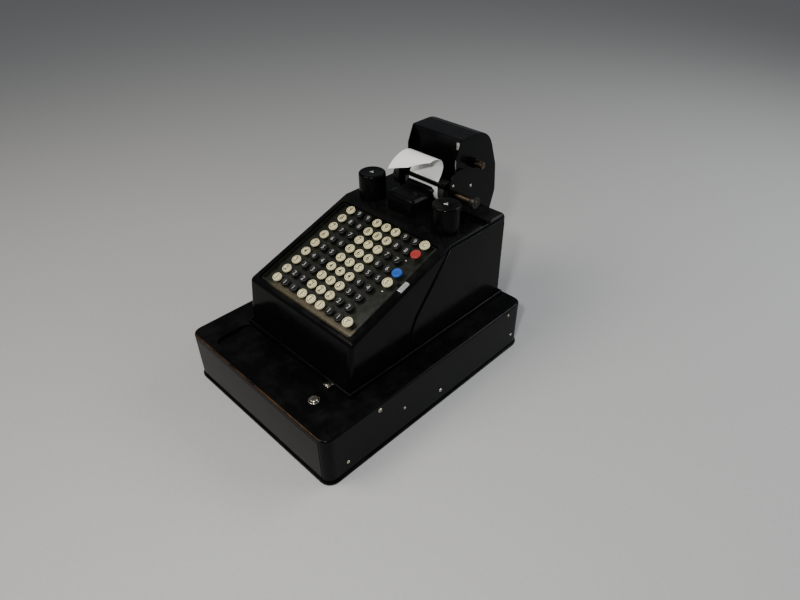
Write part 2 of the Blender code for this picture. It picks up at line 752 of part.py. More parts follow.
def key_bank(column, keyboard):
    """Nine digit keys of one column on the rail under the plate."""
    x, first = key_place(column, 1)
    last = key_place(column, KEY_ROWS)[1]
    half = KEY_STEM_WIDTH / 2
    finish = IVORY if column in (1, 4, 5, 6) else BLACK_KEY
    bank = box(
        f"key_bank_{column}",
        (x - half, first - KEY_STEM_LENGTH, RAIL_BOTTOM),
        (x + half, last + KEY_STEM_LENGTH, RAIL_TOP),
        finish,
    )
    caps = []
    stems = []
    for row in range(1, KEY_ROWS + 1):
        v = key_place(column, row)[1]
        caps.append(key_cap("cap", x, v, KEY_RADIUS, KEY_TOP))
        stems.append(key_stem("stem", x, v, KEY_TOP - 1.5 * MM, RAIL_TOP - 2 * MM))
        for corner in stems[-1].data.vertices:
            corner.co.x = x + (corner.co.x - x) * STEM_TAPER
    join(bank, gathered(f"stems_{column}", stems), gathered(f"caps_{column}", caps))
    set_origin(bank, (x, first, KEY_TOP))
    hang_on(keyboard, bank)


def function_keys(keyboard):
    finishes = {"non_add_key": BLUE_KEY, "subtract_key": RED_KEY}
    for name, row in FUNCTION_KEYS:
        x, v = key_place(KEY_COLUMNS + 1, row)
        top = KEY_TOP + FUNCTION_RISE
        key = key_cap(name, x, v, FUNCTION_RADIUS, top, finishes.get(name, IVORY))
        join(key, key_stem(name + "_stem", x, v, top - 1.5 * MM, RAIL_BOTTOM))
        set_origin(key, (x, v, top))
        hang_on(keyboard, key)


def tab_place():
    """Where the tab's stem passes the plate, close inside the well's right edge."""
    x = CASE_X + PLATE_WIDTH / 2 - PLATE_RIM - GAP - KEY_STEM_WIDTH / 2 - 2 * SLIDE_GAP
    return x, KEY_FIRST_V + (TAB_ROW - 1) * KEY_PITCH


def repeat_tab(keyboard):
    """A finger tab above the case's rim, on an arm from the stem that passes the plate."""
    x, v = tab_place()
    low = TAB_ABOVE_RIM
    right = x + TAB_REACH
    tab = box(
        "repeat_tab",
        (right - TAB_WIDTH, v - TAB_LENGTH / 2, low),
        (right, v + TAB_LENGTH / 2, low + TAB_HEIGHT),
        NICKEL,
    )
    round_edges(tab, 1 * MM, lambda middle, way: middle.z > low + GAP)
    arm = box(
        "tab_arm",
        (x - KEY_STEM_WIDTH / 2, v - KEY_STEM_LENGTH / 2, low),
        (right - TAB_WIDTH / 2, v + KEY_STEM_LENGTH / 2, low + TAB_ARM),
    )
    join(tab, arm, key_stem("tab_stem", x, v, low + TAB_ARM / 2, RAIL_TOP))
    set_origin(tab, (x, v, low))
    hang_on(keyboard, tab)


def slot(name, x, v_low, v_high, width, low, high):
    return box(name, (x - width / 2, v_low, low), (x + width / 2, v_high, high))


def keyboard_plate(keyboard):
    """A shallow pan in the case's well, slotted for the key stems."""
    half = PLATE_WIDTH / 2 - GAP
    rear = -CASE_REAR_RIM - GAP
    front = CASE_FRONT_RIM - SLOPE_LENGTH + GAP
    low = PLATE_TOP - PLATE_SHEET
    rim = PLATE_RIM
    plate = prism(
        "keyboard_plate",
        "Z",
        rounded_box_outline(CASE_X - half, front, CASE_X + half, rear, PLATE_CORNER),
        low,
        -0.4 * MM,
        PLATE_GREEN,
    )
    inside = prism(
        "plate_inside",
        "Z",
        rounded_box_outline(CASE_X - half + rim, front + rim, CASE_X + half - rim, rear - rim, PLATE_CORNER - rim),
        PLATE_TOP,
        PLATE_SHEET,
    )
    width = KEY_STEM_WIDTH + 2 * SLIDE_GAP
    reach = KEY_STEM_LENGTH / 2 + SLIDE_GAP
    slots = []
    for column in range(1, KEY_COLUMNS + 1):
        x, first = key_place(column, 1)
        last = key_place(column, KEY_ROWS)[1]
        slots.append(slot("slot", x, first - reach, last + reach, width, low - MM, PLATE_TOP + MM))
    for _, row in FUNCTION_KEYS:
        x, v = key_place(KEY_COLUMNS + 1, row)
        slots.append(slot("slot", x, v - reach, v + reach, width, low - MM, PLATE_TOP + MM))
    x, v = tab_place()
    slots.append(slot("slot", x, v - reach, v + reach + TAB_TRAVEL, width, low - MM, PLATE_TOP + MM))
    cut(plate, inside, gathered("plate_slots", slots))
    hang_on(keyboard, plate)


def key_guide_plate(keyboard):
    """The lower plate, from side frame to side frame, in whose slots the rails and stems slide."""
    rail_reach = KEY_STEM_LENGTH + SLIDE_GAP
    stem_reach = KEY_STEM_LENGTH / 2 + SLIDE_GAP
    width = KEY_STEM_WIDTH + 2 * SLIDE_GAP
    low = GUIDE_TOP - GUIDE_SHEET
    last_v = key_place(1, KEY_ROWS)[1]
    guide = box(
        "key_guide_plate",
        (FRAME_LEFT_X + FRAME_SHEET + GAP, KEY_FIRST_V - 4 * KEY_STEM_LENGTH / 2, low),
        (FRAME_RIGHT_X - FRAME_SHEET - GAP, last_v + 4 * KEY_STEM_LENGTH / 2, GUIDE_TOP),
        STEEL,
    )
    slots = []
    for column in range(1, KEY_COLUMNS + 1):
        x = key_place(column, 1)[0]
        slots.append(slot("slot", x, KEY_FIRST_V - rail_reach, last_v + rail_reach, width, low - MM, GUIDE_TOP + MM))
    for _, row in FUNCTION_KEYS:
        x, v = key_place(KEY_COLUMNS + 1, row)
        slots.append(slot("slot", x, v - stem_reach, v + stem_reach, width, low - MM, GUIDE_TOP + MM))
    cut(guide, gathered("guide_slots", slots))
    hang_on(keyboard, guide)


# ---------------------------------------------------------------- inside the case


def main_shaft_place():
    return DECK_Y - MAIN_SHAFT_FROM_DECK, BASE_HEIGHT + MAIN_SHAFT_HEIGHT


def register_place():
    return DECK_Y + REGISTER_FROM_DECK, BASE_HEIGHT + REGISTER_HEIGHT


def side_frames():
    """Two steel plates that carry the shafts, the guide plate and the type comb."""
    shafts = []
    for (y, z), radius in (
        (main_shaft_place(), MAIN_SHAFT_RADIUS),
        (register_place(), REGISTER_SHAFT),
    ):
        shafts.append(
            rod("bore", "X", (CASE_LEFT, y, z), CASE_RIGHT, radius + RUNNING_GAP + 0.1 * MM, sides=ROUND_SIDES)
        )
    bores = gathered("frame_bores", shafts)
    inset = CASE_WALL + 3 * MM
    for name, low in (("side_frame_left", FRAME_LEFT_X), ("side_frame_right", FRAME_RIGHT_X - FRAME_SHEET)):
        frame = prism(name, "X", case_outline(inset, 6 * MM, 6 * MM, CASE_Z), low, low + FRAME_SHEET, STEEL)
        cut(frame, bores)


def main_shaft_and_motor():
    y, z = main_shaft_place()
    left = FRAME_LEFT_X - 2 * MM
    motor_right = FRAME_RIGHT_X - FRAME_SHEET - GAP
    motor_left = motor_right - MOTOR_LENGTH
    shaft = rod("main_shaft", "X", (left, y, z), motor_left + 12 * MM, MAIN_SHAFT_RADIUS, STEEL, sides=ROUND_SIDES)
    span = motor_left - FRAME_LEFT_X
    for place in range(1, 4):
        x = FRAME_LEFT_X + span * place / 4
        cam = rod(
            f"cam_{place}", "X", (x, y + CAM_RADIUS / 4, z), x + CAM_WIDTH, CAM_RADIUS, sides=ROUND_SIDES
        )
        join(shaft, cam)
    set_origin(shaft, (left, y, z))
    motor = rod("drive_motor", "X", (motor_left, y, z), motor_right, MOTOR_RADIUS, TRAY, sides=ROUND_SIDES)
    bore = rod("motor_bore", "X", (motor_left - MM, y, z), motor_left + 14 * MM, MAIN_SHAFT_RADIUS + RUNNING_GAP)
    foot = box(
        "motor_foot",
        (motor_left + 6 * MM, y - MOTOR_RADIUS / 2, CASE_Z),
        (motor_right - 6 * MM, y + MOTOR_RADIUS / 2, z - MOTOR_RADIUS * 3 / 4),
    )
    cut(join(motor, foot), bore)


def register():
    """The adding register: a toothed wheel for each column and one for the carry, on one shaft."""
    y, z = register_place()
    left = FRAME_LEFT_X - 2 * MM
    shaft = rod("register", "X", (left, y, z), FRAME_RIGHT_X + 2 * MM, REGISTER_SHAFT, STEEL, sides=ROUND_SIDES)
    outline = []
    for tooth in range(REGISTER_TEETH):
        for part, reach in ((0.1, 0.78), (0.35, 1.0), (0.65, 1.0), (0.9, 0.78)):
            angle = 2 * math.pi * (tooth + part) / REGISTER_TEETH
            outline.append((y + REGISTER_RADIUS * reach * math.cos(angle), z + REGISTER_RADIUS * reach * math.sin(angle)))
    wheels = []
    for column in range(1, KEY_COLUMNS + 1):
        x = key_place(column, 1)[0]
        wheels.append(prism("wheel", "X", outline, x - 2 * MM, x + 2 * MM))
    join(shaft, gathered("register_wheels", wheels))
    set_origin(shaft, (left, y, z))


def type_bar_x(column):
    return PRINT_X + (column - (KEY_COLUMNS + 1) / 2) * TYPE_PITCH


def type_bars():
    """One bar for each column rises through the comb to bring its digit to the print line."""
    y_low = DECK_Y + TYPE_FROM_DECK - TYPE_DEPTH / 2
    y_high = y_low + TYPE_DEPTH
    top = DECK_Z - 8 * MM
    for column in range(1, KEY_COLUMNS + 1):
        x = type_bar_x(column)
        bar = box(
            f"type_bar_{column}",
            (x - TYPE_WIDTH / 2, y_low, top - TYPE_LENGTH),
            (x + TYPE_WIDTH / 2, y_high, top),
            STEEL,
        )
        head = box("head", (x - TYPE_WIDTH / 2, y_high - MM, top - 30 * MM), (x + TYPE_WIDTH / 2, y_high + 2 * MM, top))
        for corner in head.data.vertices:
            corner.co.x = x + (corner.co.x - x) * STEM_TAPER
        join(bar, head)
        set_origin(bar, (x, y_low, top))
    comb_z = top - TYPE_LENGTH + 12 * MM
    comb = box(
        "type_comb",
        (FRAME_LEFT_X + FRAME_SHEET + GAP, y_low - COMB_DEPTH / 2, comb_z),
        (FRAME_RIGHT_X - FRAME_SHEET - GAP, y_high + COMB_DEPTH / 2, comb_z + COMB_SHEET),
        STEEL,
    )
    slots = []
    for column in range(1, KEY_COLUMNS + 1):
        x = type_bar_x(column)
        wide = TYPE_WIDTH / 2 + SLIDE_GAP / 2
        slots.append(
            box("slot", (x - wide, y_low - SLIDE_GAP, comb_z - MM), (x + wide, y_high + SLIDE_GAP, comb_z + 2 * COMB_SHEET))
        )
    cut(comb, gathered("comb_slots", slots))


# ---------------------------------------------------------------- printing unit


def spool(side, x):
    """The ribbon spool turns under its cover, on a stud that is part of the deck."""
    y = DECK_Y + SPOOL_FROM_DECK
    r = SPOOL_COVER_RADIUS
    w = SPOOL_COVER_WALL
    top = SPOOL_COVER_HEIGHT
    profile = [
        (0, top), (r - 2.5 * MM, top), (r - 0.7 * MM, top - 0.7 * MM), (r, top - 2.5 * MM), (r, 0),
        (r - w, 0), (r - w, top - 3 * MM), (r - w - 1.5 * MM, top - w), (0, top - w),
    ]
    turned(f"ribbon_cover_{side}", "Z", profile, (x, y, TOP_Z), ENAMEL)
    h = SPOOL_HEIGHT
    low = TOP_Z + 4 * MM
    profile = [
        (0, h), (SPOOL_RADIUS, h), (SPOOL_RADIUS, h - MM), (SPOOL_CORE, h - MM),
        (SPOOL_CORE, MM), (SPOOL_RADIUS, MM), (SPOOL_RADIUS, 0), (0, 0),
    ]
    reel = turned(f"ribbon_spool_{side}", "Z", profile, (x, y, low), TRAY)
    set_origin(reel, (x, y, low))


def type_guard():
    front = DECK_Y + GUARD_FROM_DECK
    rear = front + GUARD_DEPTH
    half = GUARD_WIDTH / 2
    guard = box("type_guard", (PRINT_X - half, front, TOP_Z), (PRINT_X + half, rear, TOP_Z + GUARD_HEIGHT), ENAMEL)
    round_edges(guard, 8 * MM, lambda middle, way: middle.z > TOP_Z + GUARD_HEIGHT / 4 and middle.y < rear - GAP)
    w = GUARD_WALL
    inside = box(
        "guard_inside",
        (PRINT_X - half + w, front + w, TOP_Z - w),
        (PRINT_X + half - w, rear + w, TOP_Z + GUARD_HEIGHT - w),
    )
    round_edges(inside, 7 * MM, lambda middle, way: middle.z > TOP_Z + GUARD_HEIGHT / 4 and middle.y < rear - GAP)
    cut(guard, inside)


def platen():
    half = PLATEN_WIDTH / 2
    bore = PLATEN_SHAFT + GAP
    profile = [
        (bore, half), (PLATEN_RADIUS, half), (PLATEN_RADIUS, -half), (bore, -half),
    ]
    origin = (PRINT_X, PLATEN_Y, PLATEN_Z)
    set_origin(turned("platen_roller", "X", profile, origin, RUBBER), origin)
    left = HOOD_LEFT - EAR_SHEET - 2 * MM
    right = PRINT_X + PLATEN_SHAFT_RIGHT
    r = PLATEN_SHAFT
    knob_right = left - GAP
    knob_left = knob_right - KNOB_WIDTH
    k = KNOB_RADIUS
    profile = [
        (0, right), (RING_RADIUS - MM, right), (RING_RADIUS, right - MM), (RING_RADIUS, right - RING_WIDTH + MM),
        (RING_RADIUS - MM, right - RING_WIDTH), (r, right - RING_WIDTH), (r, knob_right), (k - MM, knob_right),
        (k, knob_right - MM), (k, knob_left + 2 * MM), (k - 2 * MM, knob_left), (0, knob_left),
    ]
    shaft = turned("platen_shaft", "X", profile, (0, PLATEN_Y, PLATEN_Z), BRASS)
    set_origin(shaft, (0, PLATEN_Y, PLATEN_Z))


def ears():
    """The brackets either side of the hood that hold the platen's shaft."""
    low = PLATEN_Y - EAR_WIDTH / 3
    high = low + EAR_WIDTH
    top = TOP_Z + EAR_HEIGHT
    outline = rounded([
        (low, TOP_Z, 0), (high, TOP_Z, 0), (high, top, EAR_ROUND), (low, top, EAR_ROUND),
    ], steps=8)
    for name, x in (("platen_ear_left", HOOD_LEFT - GAP - EAR_SHEET), ("platen_ear_right", HOOD_RIGHT + GAP)):
        ear = prism(name, "X", outline, x, x + EAR_SHEET, ENAMEL)
        bore = rod(
            name + "_bore", "X", (x - EAR_SHEET, PLATEN_Y, PLATEN_Z), x + 2 * EAR_SHEET, PLATEN_SHAFT + RUNNING_GAP
        )
        spindle = rod(
            name + "_slot", "X", (x - EAR_SHEET, ROLL_Y, ROLL_Z), x + 2 * EAR_SHEET, SPINDLE_RADIUS + 2 * MM
        )
        cut(ear, bore, spindle)


BAIL_PIVOT_Y = PLATEN_Y + 11 * MM
BAIL_PIVOT_Z = PLATEN_Z + 17 * MM
BAIL_PIN = 2 * MM


def tear_bar():
    """The tear bar across the tape, on two arms that pivot in the hood's cheeks."""
    y = PLATEN_Y - PLATEN_RADIUS - 2.9 * MM
    z = BAIL_PIVOT_Z
    left = HOOD_LEFT + HOOD_WALL + SLIDE_GAP
    right = HOOD_RIGHT - HOOD_WALL - SLIDE_GAP
    half = TEAR_BAR / 2
    bar = box("tear_bar", (left + MM, y - half, z - half), (right - MM, y + half, z + half), ENAMEL)
    round_edges(bar, 0.8 * MM, lambda middle, way: abs(way.x) > 0.9, segments=2)
    sheet = 2 * MM
    for side, low in (("left", left), ("right", right - sheet)):
        outline = rounded_box_outline(y - half - 0.5 * MM, z - 3 * MM, BAIL_PIVOT_Y + 4 * MM, z + 3 * MM, 2 * MM)
        join(bar, prism(f"tear_arm_{side}", "X", outline, low, low + sheet))
    for side, low, high in (
        ("left", HOOD_LEFT + GAP, left + sheet / 2),
        ("right", right - sheet / 2, HOOD_RIGHT - GAP),
    ):
        join(bar, rod(f"tear_pin_{side}", "X", (low, BAIL_PIVOT_Y, BAIL_PIVOT_Z), high, BAIL_PIN, sides=SMALL_SIDES))
    set_origin(bar, (PRINT_X, BAIL_PIVOT_Y, BAIL_PIVOT_Z))


def smooth_path(points, steps):
    """A smooth curve through points, by cubic pieces that share their slopes."""
    path = []
    padded = [points[0], *points, points[-1]]
    for before, start, end, after in zip(padded, padded[1:], padded[2:], padded[3:]):
        for step in range(steps):
            t = step / steps
            path.append(tuple(
                0.5 * (2 * b + (c - a) * t + (2 * a - 5 * b + 4 * c - d) * t ** 2 + (3 * b - a - 3 * c + d) * t ** 3)
                for a, b, c, d in zip(before, start, end, after)
            ))
    path.append(tuple(points[-1]))
    return path


def paper_tape():
    """The tape comes off the roll, round under the platen, up behind the tear bar and curls forward."""
    r = PLATEN_RADIUS + GAP + TAPE_SHEET / 2
    path = []
    for step in range(13):
        angle = math.radians(40 - 220 * step / 12)
        path.append((PLATEN_Y + r * math.cos(angle), PLATEN_Z + r * math.sin(angle)))
    front = path[-1][0]
    curl = [
        (front, PLATEN_Z), (front + 0.2 * MM, PLATEN_Z + 10 * MM), (front + 2 * MM, PLATEN_Z + 19 * MM),
        (front + 8 * MM, PLATEN_Z + 28 * MM), (front + 11.5 * MM, PLATEN_Z + 39 * MM),
        (front + 7 * MM, PLATEN_Z + 50 * MM), (front - 6 * MM, PLATEN_Z + 55 * MM),
        (front - 21 * MM, PLATEN_Z + 53 * MM), (front - 35 * MM, PLATEN_Z + 46 * MM),
        (front - 45 * MM, PLATEN_Z + 36 * MM),
    ]
    path += smooth_path(curl, 3)[1:]
    sides = ([], [])
    for index, point in enumerate(path):
        ahead = Vector(path[min(index + 1, len(path) - 1)]) - Vector(path[max(index - 1, 0)])
        square = Vector((-ahead.y, ahead.x)).normalized() * TAPE_SHEET / 2
        sides[0].append(tuple(Vector(point) + square))
        sides[1].append(tuple(Vector(point) - square))
    outline = sides[0] + sides[1][::-1]
    half = TAPE_WIDTH / 2
    prism("paper_tape", "X", outline, PRINT_X - half, PRINT_X + half, PAPER)


def release_lever():
    """The finger lever behind the right ribbon cover; it turns on a stud in the deck."""
    x = PRINT_X + LEVER_X
    y = PLATEN_Y - 2 * MM
    hub = LEVER_HUB
    half = LEVER_WIDTH / 2
    lever = rod("release_lever", "Z", (x, y, TOP_Z), TOP_Z + LEVER_THICK, hub, ENAMEL)
    outline = rounded([
        (x, y - LEVER_NECK, 0), (x + LEVER_LENGTH, y - half, 0.9 * half),
        (x + LEVER_LENGTH, y + half, 0.9 * half), (x, y + LEVER_NECK, 0),
    ])
    arm = prism("lever_arm", "Z", outline, TOP_Z + MM, TOP_Z + LEVER_THICK - 0.5 * MM)
    join(lever, arm)
    set_origin(lever, (x, y, TOP_Z))


# ---------------------------------------------------------------- hood


def hood_outline(inset):
    """The hood's side view as (y, z): it stands on the deck and hangs behind the case."""
    front = DECK_Y + HOOD_FRONT_FROM_DECK
    rear = CASE_REAR_Y + HOOD_OVERHANG - inset
    top = HOOD_TOP - inset
    behind = CASE_REAR_Y + PAN_LIP + 2 * GAP + inset
    return rounded([
        (front, TOP_Z + inset, 0),
        (behind, TOP_Z + inset, 0),
        (behind, TOP_Z - 40 * MM + inset, 4 * MM),
        (rear - 11 * MM, TOP_Z - 40 * MM + inset, 6 * MM),
        (rear, TOP_Z - 6 * MM, 30 * MM),
        (rear - 4 * MM, top - 62 * MM, 0),
        (rear - 26 * MM, top, HOOD_REAR_ROUND - inset),
        (front + 11 * MM, top, 3 * MM),
        (front, top - 26 * MM, 12 * MM),
    ], steps=6)


def hood():
    shell = prism("hood_shell", "X", hood_outline(0), HOOD_LEFT, HOOD_RIGHT, ENAMEL)
    cavity = prism("hood_cavity", "X", hood_outline(HOOD_WALL), HOOD_LEFT + HOOD_WALL, HOOD_RIGHT - HOOD_WALL)
    front = DECK_Y + HOOD_FRONT_FROM_DECK
    mouth = box(
        "hood_mouth",
        (HOOD_LEFT + HOOD_WALL, front - 10 * MM, TOP_Z - MM),
        (HOOD_RIGHT - HOOD_WALL, front + 16 * MM, HOOD_TOP - HOOD_WALL),
    )
    lid_rear = DECK_Y + HOOD_LID_FRONT + HOOD_LID
    lid_front = DECK_Y + HOOD_LID_FRONT
    lid_hole = box(
        "lid_hole",
        (HOOD_LEFT - MM, front - 20 * MM, HOOD_TOP - HOOD_WALL - GAP),
        (HOOD_RIGHT + MM, lid_rear + SLIDE_GAP, HOOD_TOP + MM),
    )
    bores = gathered("hood_bores", [
        rod("bore", "X", (HOOD_LEFT - MM, PLATEN_Y, PLATEN_Z), HOOD_RIGHT + MM, PLATEN_SHAFT + RUNNING_GAP),
        rod("bore", "X", (HOOD_LEFT - MM, ROLL_Y, ROLL_Z), HOOD_RIGHT + MM, SPINDLE_RADIUS + RUNNING_GAP),
        rod("bore", "X", (HOOD_LEFT - MM, BAIL_PIVOT_Y, BAIL_PIVOT_Z), HOOD_RIGHT + MM, BAIL_PIN + RUNNING_GAP),
    ])
    cut(shell, cavity, mouth, lid_hole, bores)
    lid = box(
        "hood_lid", (HOOD_LEFT, lid_front, HOOD_TOP - HOOD_WALL), (HOOD_RIGHT, lid_rear, HOOD_TOP), ENAMEL
    )
    lip = box(
        "lid_lip",
        (HOOD_LEFT + HOOD_WALL + SLIDE_GAP, lid_front, HOOD_TOP - 7 * MM),
        (HOOD_RIGHT - HOOD_WALL - SLIDE_GAP, lid_front + HOOD_WALL, HOOD_TOP - HOOD_WALL / 2),
    )
    join(lid, lip)
    set_origin(lid, (PRINT_X, lid_rear, HOOD_TOP))


def hood_panel():
    """The black panel that closes the hood's front over the roll."""
    front = DECK_Y + HOOD_LID_FRONT + HOOD_WALL + 2 * GAP
    top = HOOD_TOP - HOOD_PANEL_BELOW_TOP
    left = HOOD_LEFT + HOOD_WALL + GAP
    right = HOOD_RIGHT - HOOD_WALL - GAP
    sheet = HOOD_WALL
    outline = [
        (front, top), (front, top - HOOD_PANEL_HEIGHT), (front + 4 * MM, top - HOOD_PANEL_HEIGHT - 4 * MM),
        (front + 4 * MM + sheet, top - HOOD_PANEL_HEIGHT - 4 * MM + sheet), (front + sheet, top - HOOD_PANEL_HEIGHT + sheet),
        (front + sheet, top),
    ]
    prism("hood_panel", "X", outline, left, right, ENAMEL)


def supply_roll():
    half = TAPE_WIDTH / 2
    core = SPINDLE_RADIUS + 2 * MM
    profile = [(core, half), (ROLL_RADIUS, half), (ROLL_RADIUS, -half), (core, -half)]
    place = (PRINT_X, ROLL_Y, ROLL_Z)
    set_origin(turned("supply_roll", "X", profile, place, PAPER), place)
    left = HOOD_LEFT - MM
    spindle = rod("roll_spindle", "X", (left, ROLL_Y, ROLL_Z), HOOD_RIGHT + SPINDLE_STUB, SPINDLE_RADIUS, BRASS)
    hub = rod(
        "roll_hub", "X", (PRINT_X - half, ROLL_Y, ROLL_Z), PRINT_X + half, core - GAP
    )
    join(spindle, hub)
    set_origin(spindle, (left, ROLL_Y, ROLL_Z))


def build():
    base_plate()
    base_cover()
    drawer()
    cash_trays()
    drawer_runners()
    lock()
    machine_pan()
    keyboard = keyboard_frame()
    machine_case(keyboard)
    side_covers()
    keyboard_plate(keyboard)
    key_guide_plate(keyboard)
    for column in range(1, KEY_COLUMNS + 1):
        key_bank(column, keyboard)
    function_keys(keyboard)
    repeat_tab(keyboard)
    side_frames()
    main_shaft_and_motor()
    register()
    type_bars()
    spool("left", PRINT_X + SPOOL_LEFT_X)
    spool("right", PRINT_X + SPOOL_RIGHT_X)
    type_guard()
    platen()
    ears()
    tear_bar()
    paper_tape()
    release_lever()
    hood()
    hood_panel()
    supply_roll()


build()
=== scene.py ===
import json
import math

import bpy
from mathutils import Matrix, Vector


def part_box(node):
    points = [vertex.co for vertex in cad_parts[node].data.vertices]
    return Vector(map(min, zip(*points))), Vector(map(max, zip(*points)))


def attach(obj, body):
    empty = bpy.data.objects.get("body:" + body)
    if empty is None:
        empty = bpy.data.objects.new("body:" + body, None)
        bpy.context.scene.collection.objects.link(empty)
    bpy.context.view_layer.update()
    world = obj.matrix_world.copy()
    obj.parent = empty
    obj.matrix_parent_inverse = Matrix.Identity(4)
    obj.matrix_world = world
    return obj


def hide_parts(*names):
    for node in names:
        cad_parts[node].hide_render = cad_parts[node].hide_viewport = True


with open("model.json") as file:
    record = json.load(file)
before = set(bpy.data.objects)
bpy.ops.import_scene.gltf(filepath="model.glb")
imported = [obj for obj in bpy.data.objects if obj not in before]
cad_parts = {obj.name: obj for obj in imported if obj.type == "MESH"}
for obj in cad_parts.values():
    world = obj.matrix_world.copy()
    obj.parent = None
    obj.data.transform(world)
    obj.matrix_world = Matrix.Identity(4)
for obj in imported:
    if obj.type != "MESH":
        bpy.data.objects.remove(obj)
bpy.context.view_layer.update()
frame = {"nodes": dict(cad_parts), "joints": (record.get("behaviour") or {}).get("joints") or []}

MM = 0.001

# ---------------------------------------------------------------- stage and camera
# A plain pale table top under plain soft studio light: one broad lamp above and behind the viewer's
# left shoulder, one beyond the right side, a weak one behind and a small one beside the viewer, so that
# the gloss black paint shows its edges and the keys stand out.


def linear(code):
    """An sRGB hex colour such as '#0b0b0c' as linear light."""
    parts = [int(code[i:i + 2], 16) / 255 for i in (1, 3, 5)]
    return tuple(c / 12.92 if c <= 0.04045 else ((c + 0.055) / 1.055) ** 2.4 for c in parts)


def add(tree, kind, settings=None, links=None):
    """Adds a shader node, sets its properties or inputs by name or number, and links its inputs."""
    made = tree.nodes.new(kind)
    for key, value in (settings or {}).items():
        if isinstance(key, str) and hasattr(made, key):
            setattr(made, key, value)
        else:
            made.inputs[key].default_value = value
    for key, source in (links or {}).items():
        tree.links.new(source, made.inputs[key])
    return made


def new_material(name):
    made = bpy.data.materials.new(name)
    made.use_nodes = True
    made.node_tree.nodes.clear()
    return made, made.node_tree


def close_material(tree, colour, roughness, bump=None, settings=None):
    """The shader and its output; colour and roughness are sockets or plain values."""
    shader = add(tree, "ShaderNodeBsdfPrincipled", settings)
    for key, value in (("Base Color", colour), ("Roughness", roughness)):
        if isinstance(value, bpy.types.NodeSocket):
            tree.links.new(value, shader.inputs[key])
        elif key == "Base Color":
            shader.inputs[key].default_value = (*linear(value), 1)
        else:
            shader.inputs[key].default_value = value
    if bump:
        tree.links.new(bump, shader.inputs["Normal"])
    add(tree, "ShaderNodeOutputMaterial", links={"Surface": shader.outputs[0]})


def noise(tree, size_mm, detail=3.0, roughness=0.5):
    """Noise on Object coordinates whose blobs are about size_mm across."""
    place = add(tree, "ShaderNodeTexCoord")
    return add(
        tree, "ShaderNodeTexNoise", {"Scale": 1000.0 / size_mm, "Detail": detail, "Roughness": roughness},
        {"Vector": place.outputs["Object"]},
    ).outputs["Fac"]


def span(tree, value, low, high, to_low=0.0, to_high=1.0):
    """Maps a value's stretch from low to high on to another, held at its ends."""
    return add(
        tree, "ShaderNodeMapRange",
        {"From Min": low, "From Max": high, "To Min": to_low, "To Max": to_high}, {"Value": value},
    ).outputs[0]


def mixed(tree, amount, first, second):
    """A colour between two, each a hex code or a socket."""
    made = add(tree, "ShaderNodeMix", {"data_type": "RGBA"})
    for socket, value in ((made.inputs[6], first), (made.inputs[7], second)):
        if isinstance(value, str):
            socket.default_value = (*linear(value), 1)
        else:
            tree.links.new(value, socket)
    tree.links.new(amount, made.inputs[0])
    return made.outputs[2]


def bumped(tree, height, distance_mm, strength=1.0):
    return add(
        tree, "ShaderNodeBump", {"Strength": strength, "Distance": distance_mm * MM}, {"Height": height}
    ).outputs[0]


# Matt laminate: even and pale, with a faint grain that keeps it from looking like a void.
table_laminate, tree = new_material("table_laminate")
grain = noise(tree, 6.0)
close_material(tree, mixed(tree, grain, "#b3b3b1", "#bdbdbb"), 0.62)
bpy.ops.mesh.primitive_plane_add(size=60.0, location=(0, 0, -0.0002))
table_top = bpy.context.object
table_top.name = "table_top"
table_top.data.materials.append(table_laminate)

camera_data = bpy.data.cameras.new("camera")
camera_data.lens = 27.37
camera_data.sensor_width = 36.0
camera_data.clip_start = 0.02
camera = bpy.data.objects.new("camera", camera_data)
bpy.context.scene.collection.objects.link(camera)
camera.location = (0.564, -0.476, 0.6618)
looking = Vector((-0.56787, 0.56458, -0.59898))
CAMERA_ROLL = math.radians(-0.79)
camera.rotation_euler = (
    looking.to_track_quat("-Z", "Y").to_matrix() @ Matrix.Rotation(CAMERA_ROLL, 3, "Z")
).to_euler()
bpy.context.scene.camera = camera

for lamp_name, place, size, watts, tint in (
    ("lamp_above", (-0.45, -0.85, 1.45), 0.8, 15.5, "#fff8ee"),
    ("lamp_right", (1.15, 1.05, 0.85), 0.7, 7.5, "#f1f5ff"),
    ("lamp_behind", (0.55, 1.45, 1.35), 0.6, 9.0, "#ffffff"),
    ("lamp_flash", (0.50, -0.58, 0.82), 0.06, 5.5, "#ffffff"),
):
    lamp_data = bpy.data.lights.new(lamp_name, "AREA")
    lamp_data.size = size
    lamp_data.energy = watts
    lamp_data.color = linear(tint)
    lamp = bpy.data.objects.new(lamp_name, lamp_data)
    bpy.context.scene.collection.objects.link(lamp)
    lamp.location = place
    lamp.rotation_euler = (Vector((0, 0, 0.12)) - Vector(place)).to_track_quat("-Z", "Y").to_euler()
world = bpy.data.worlds.new("studio")
bpy.context.scene.world = world
world.use_nodes = True
world.node_tree.nodes["Background"].inputs[0].default_value = (*linear("#b9bec4"), 1)
world.node_tree.nodes["Background"].inputs[1].default_value = 0.34

# ---------------------------------------------------------------- base plate and base cover
# A flat steel plate with the drawn steel cover of the cash drawer standing on it, its lip showing all
# round. Both are dipped in black stoving enamel, and the cover is screwed to the plate from the sides.

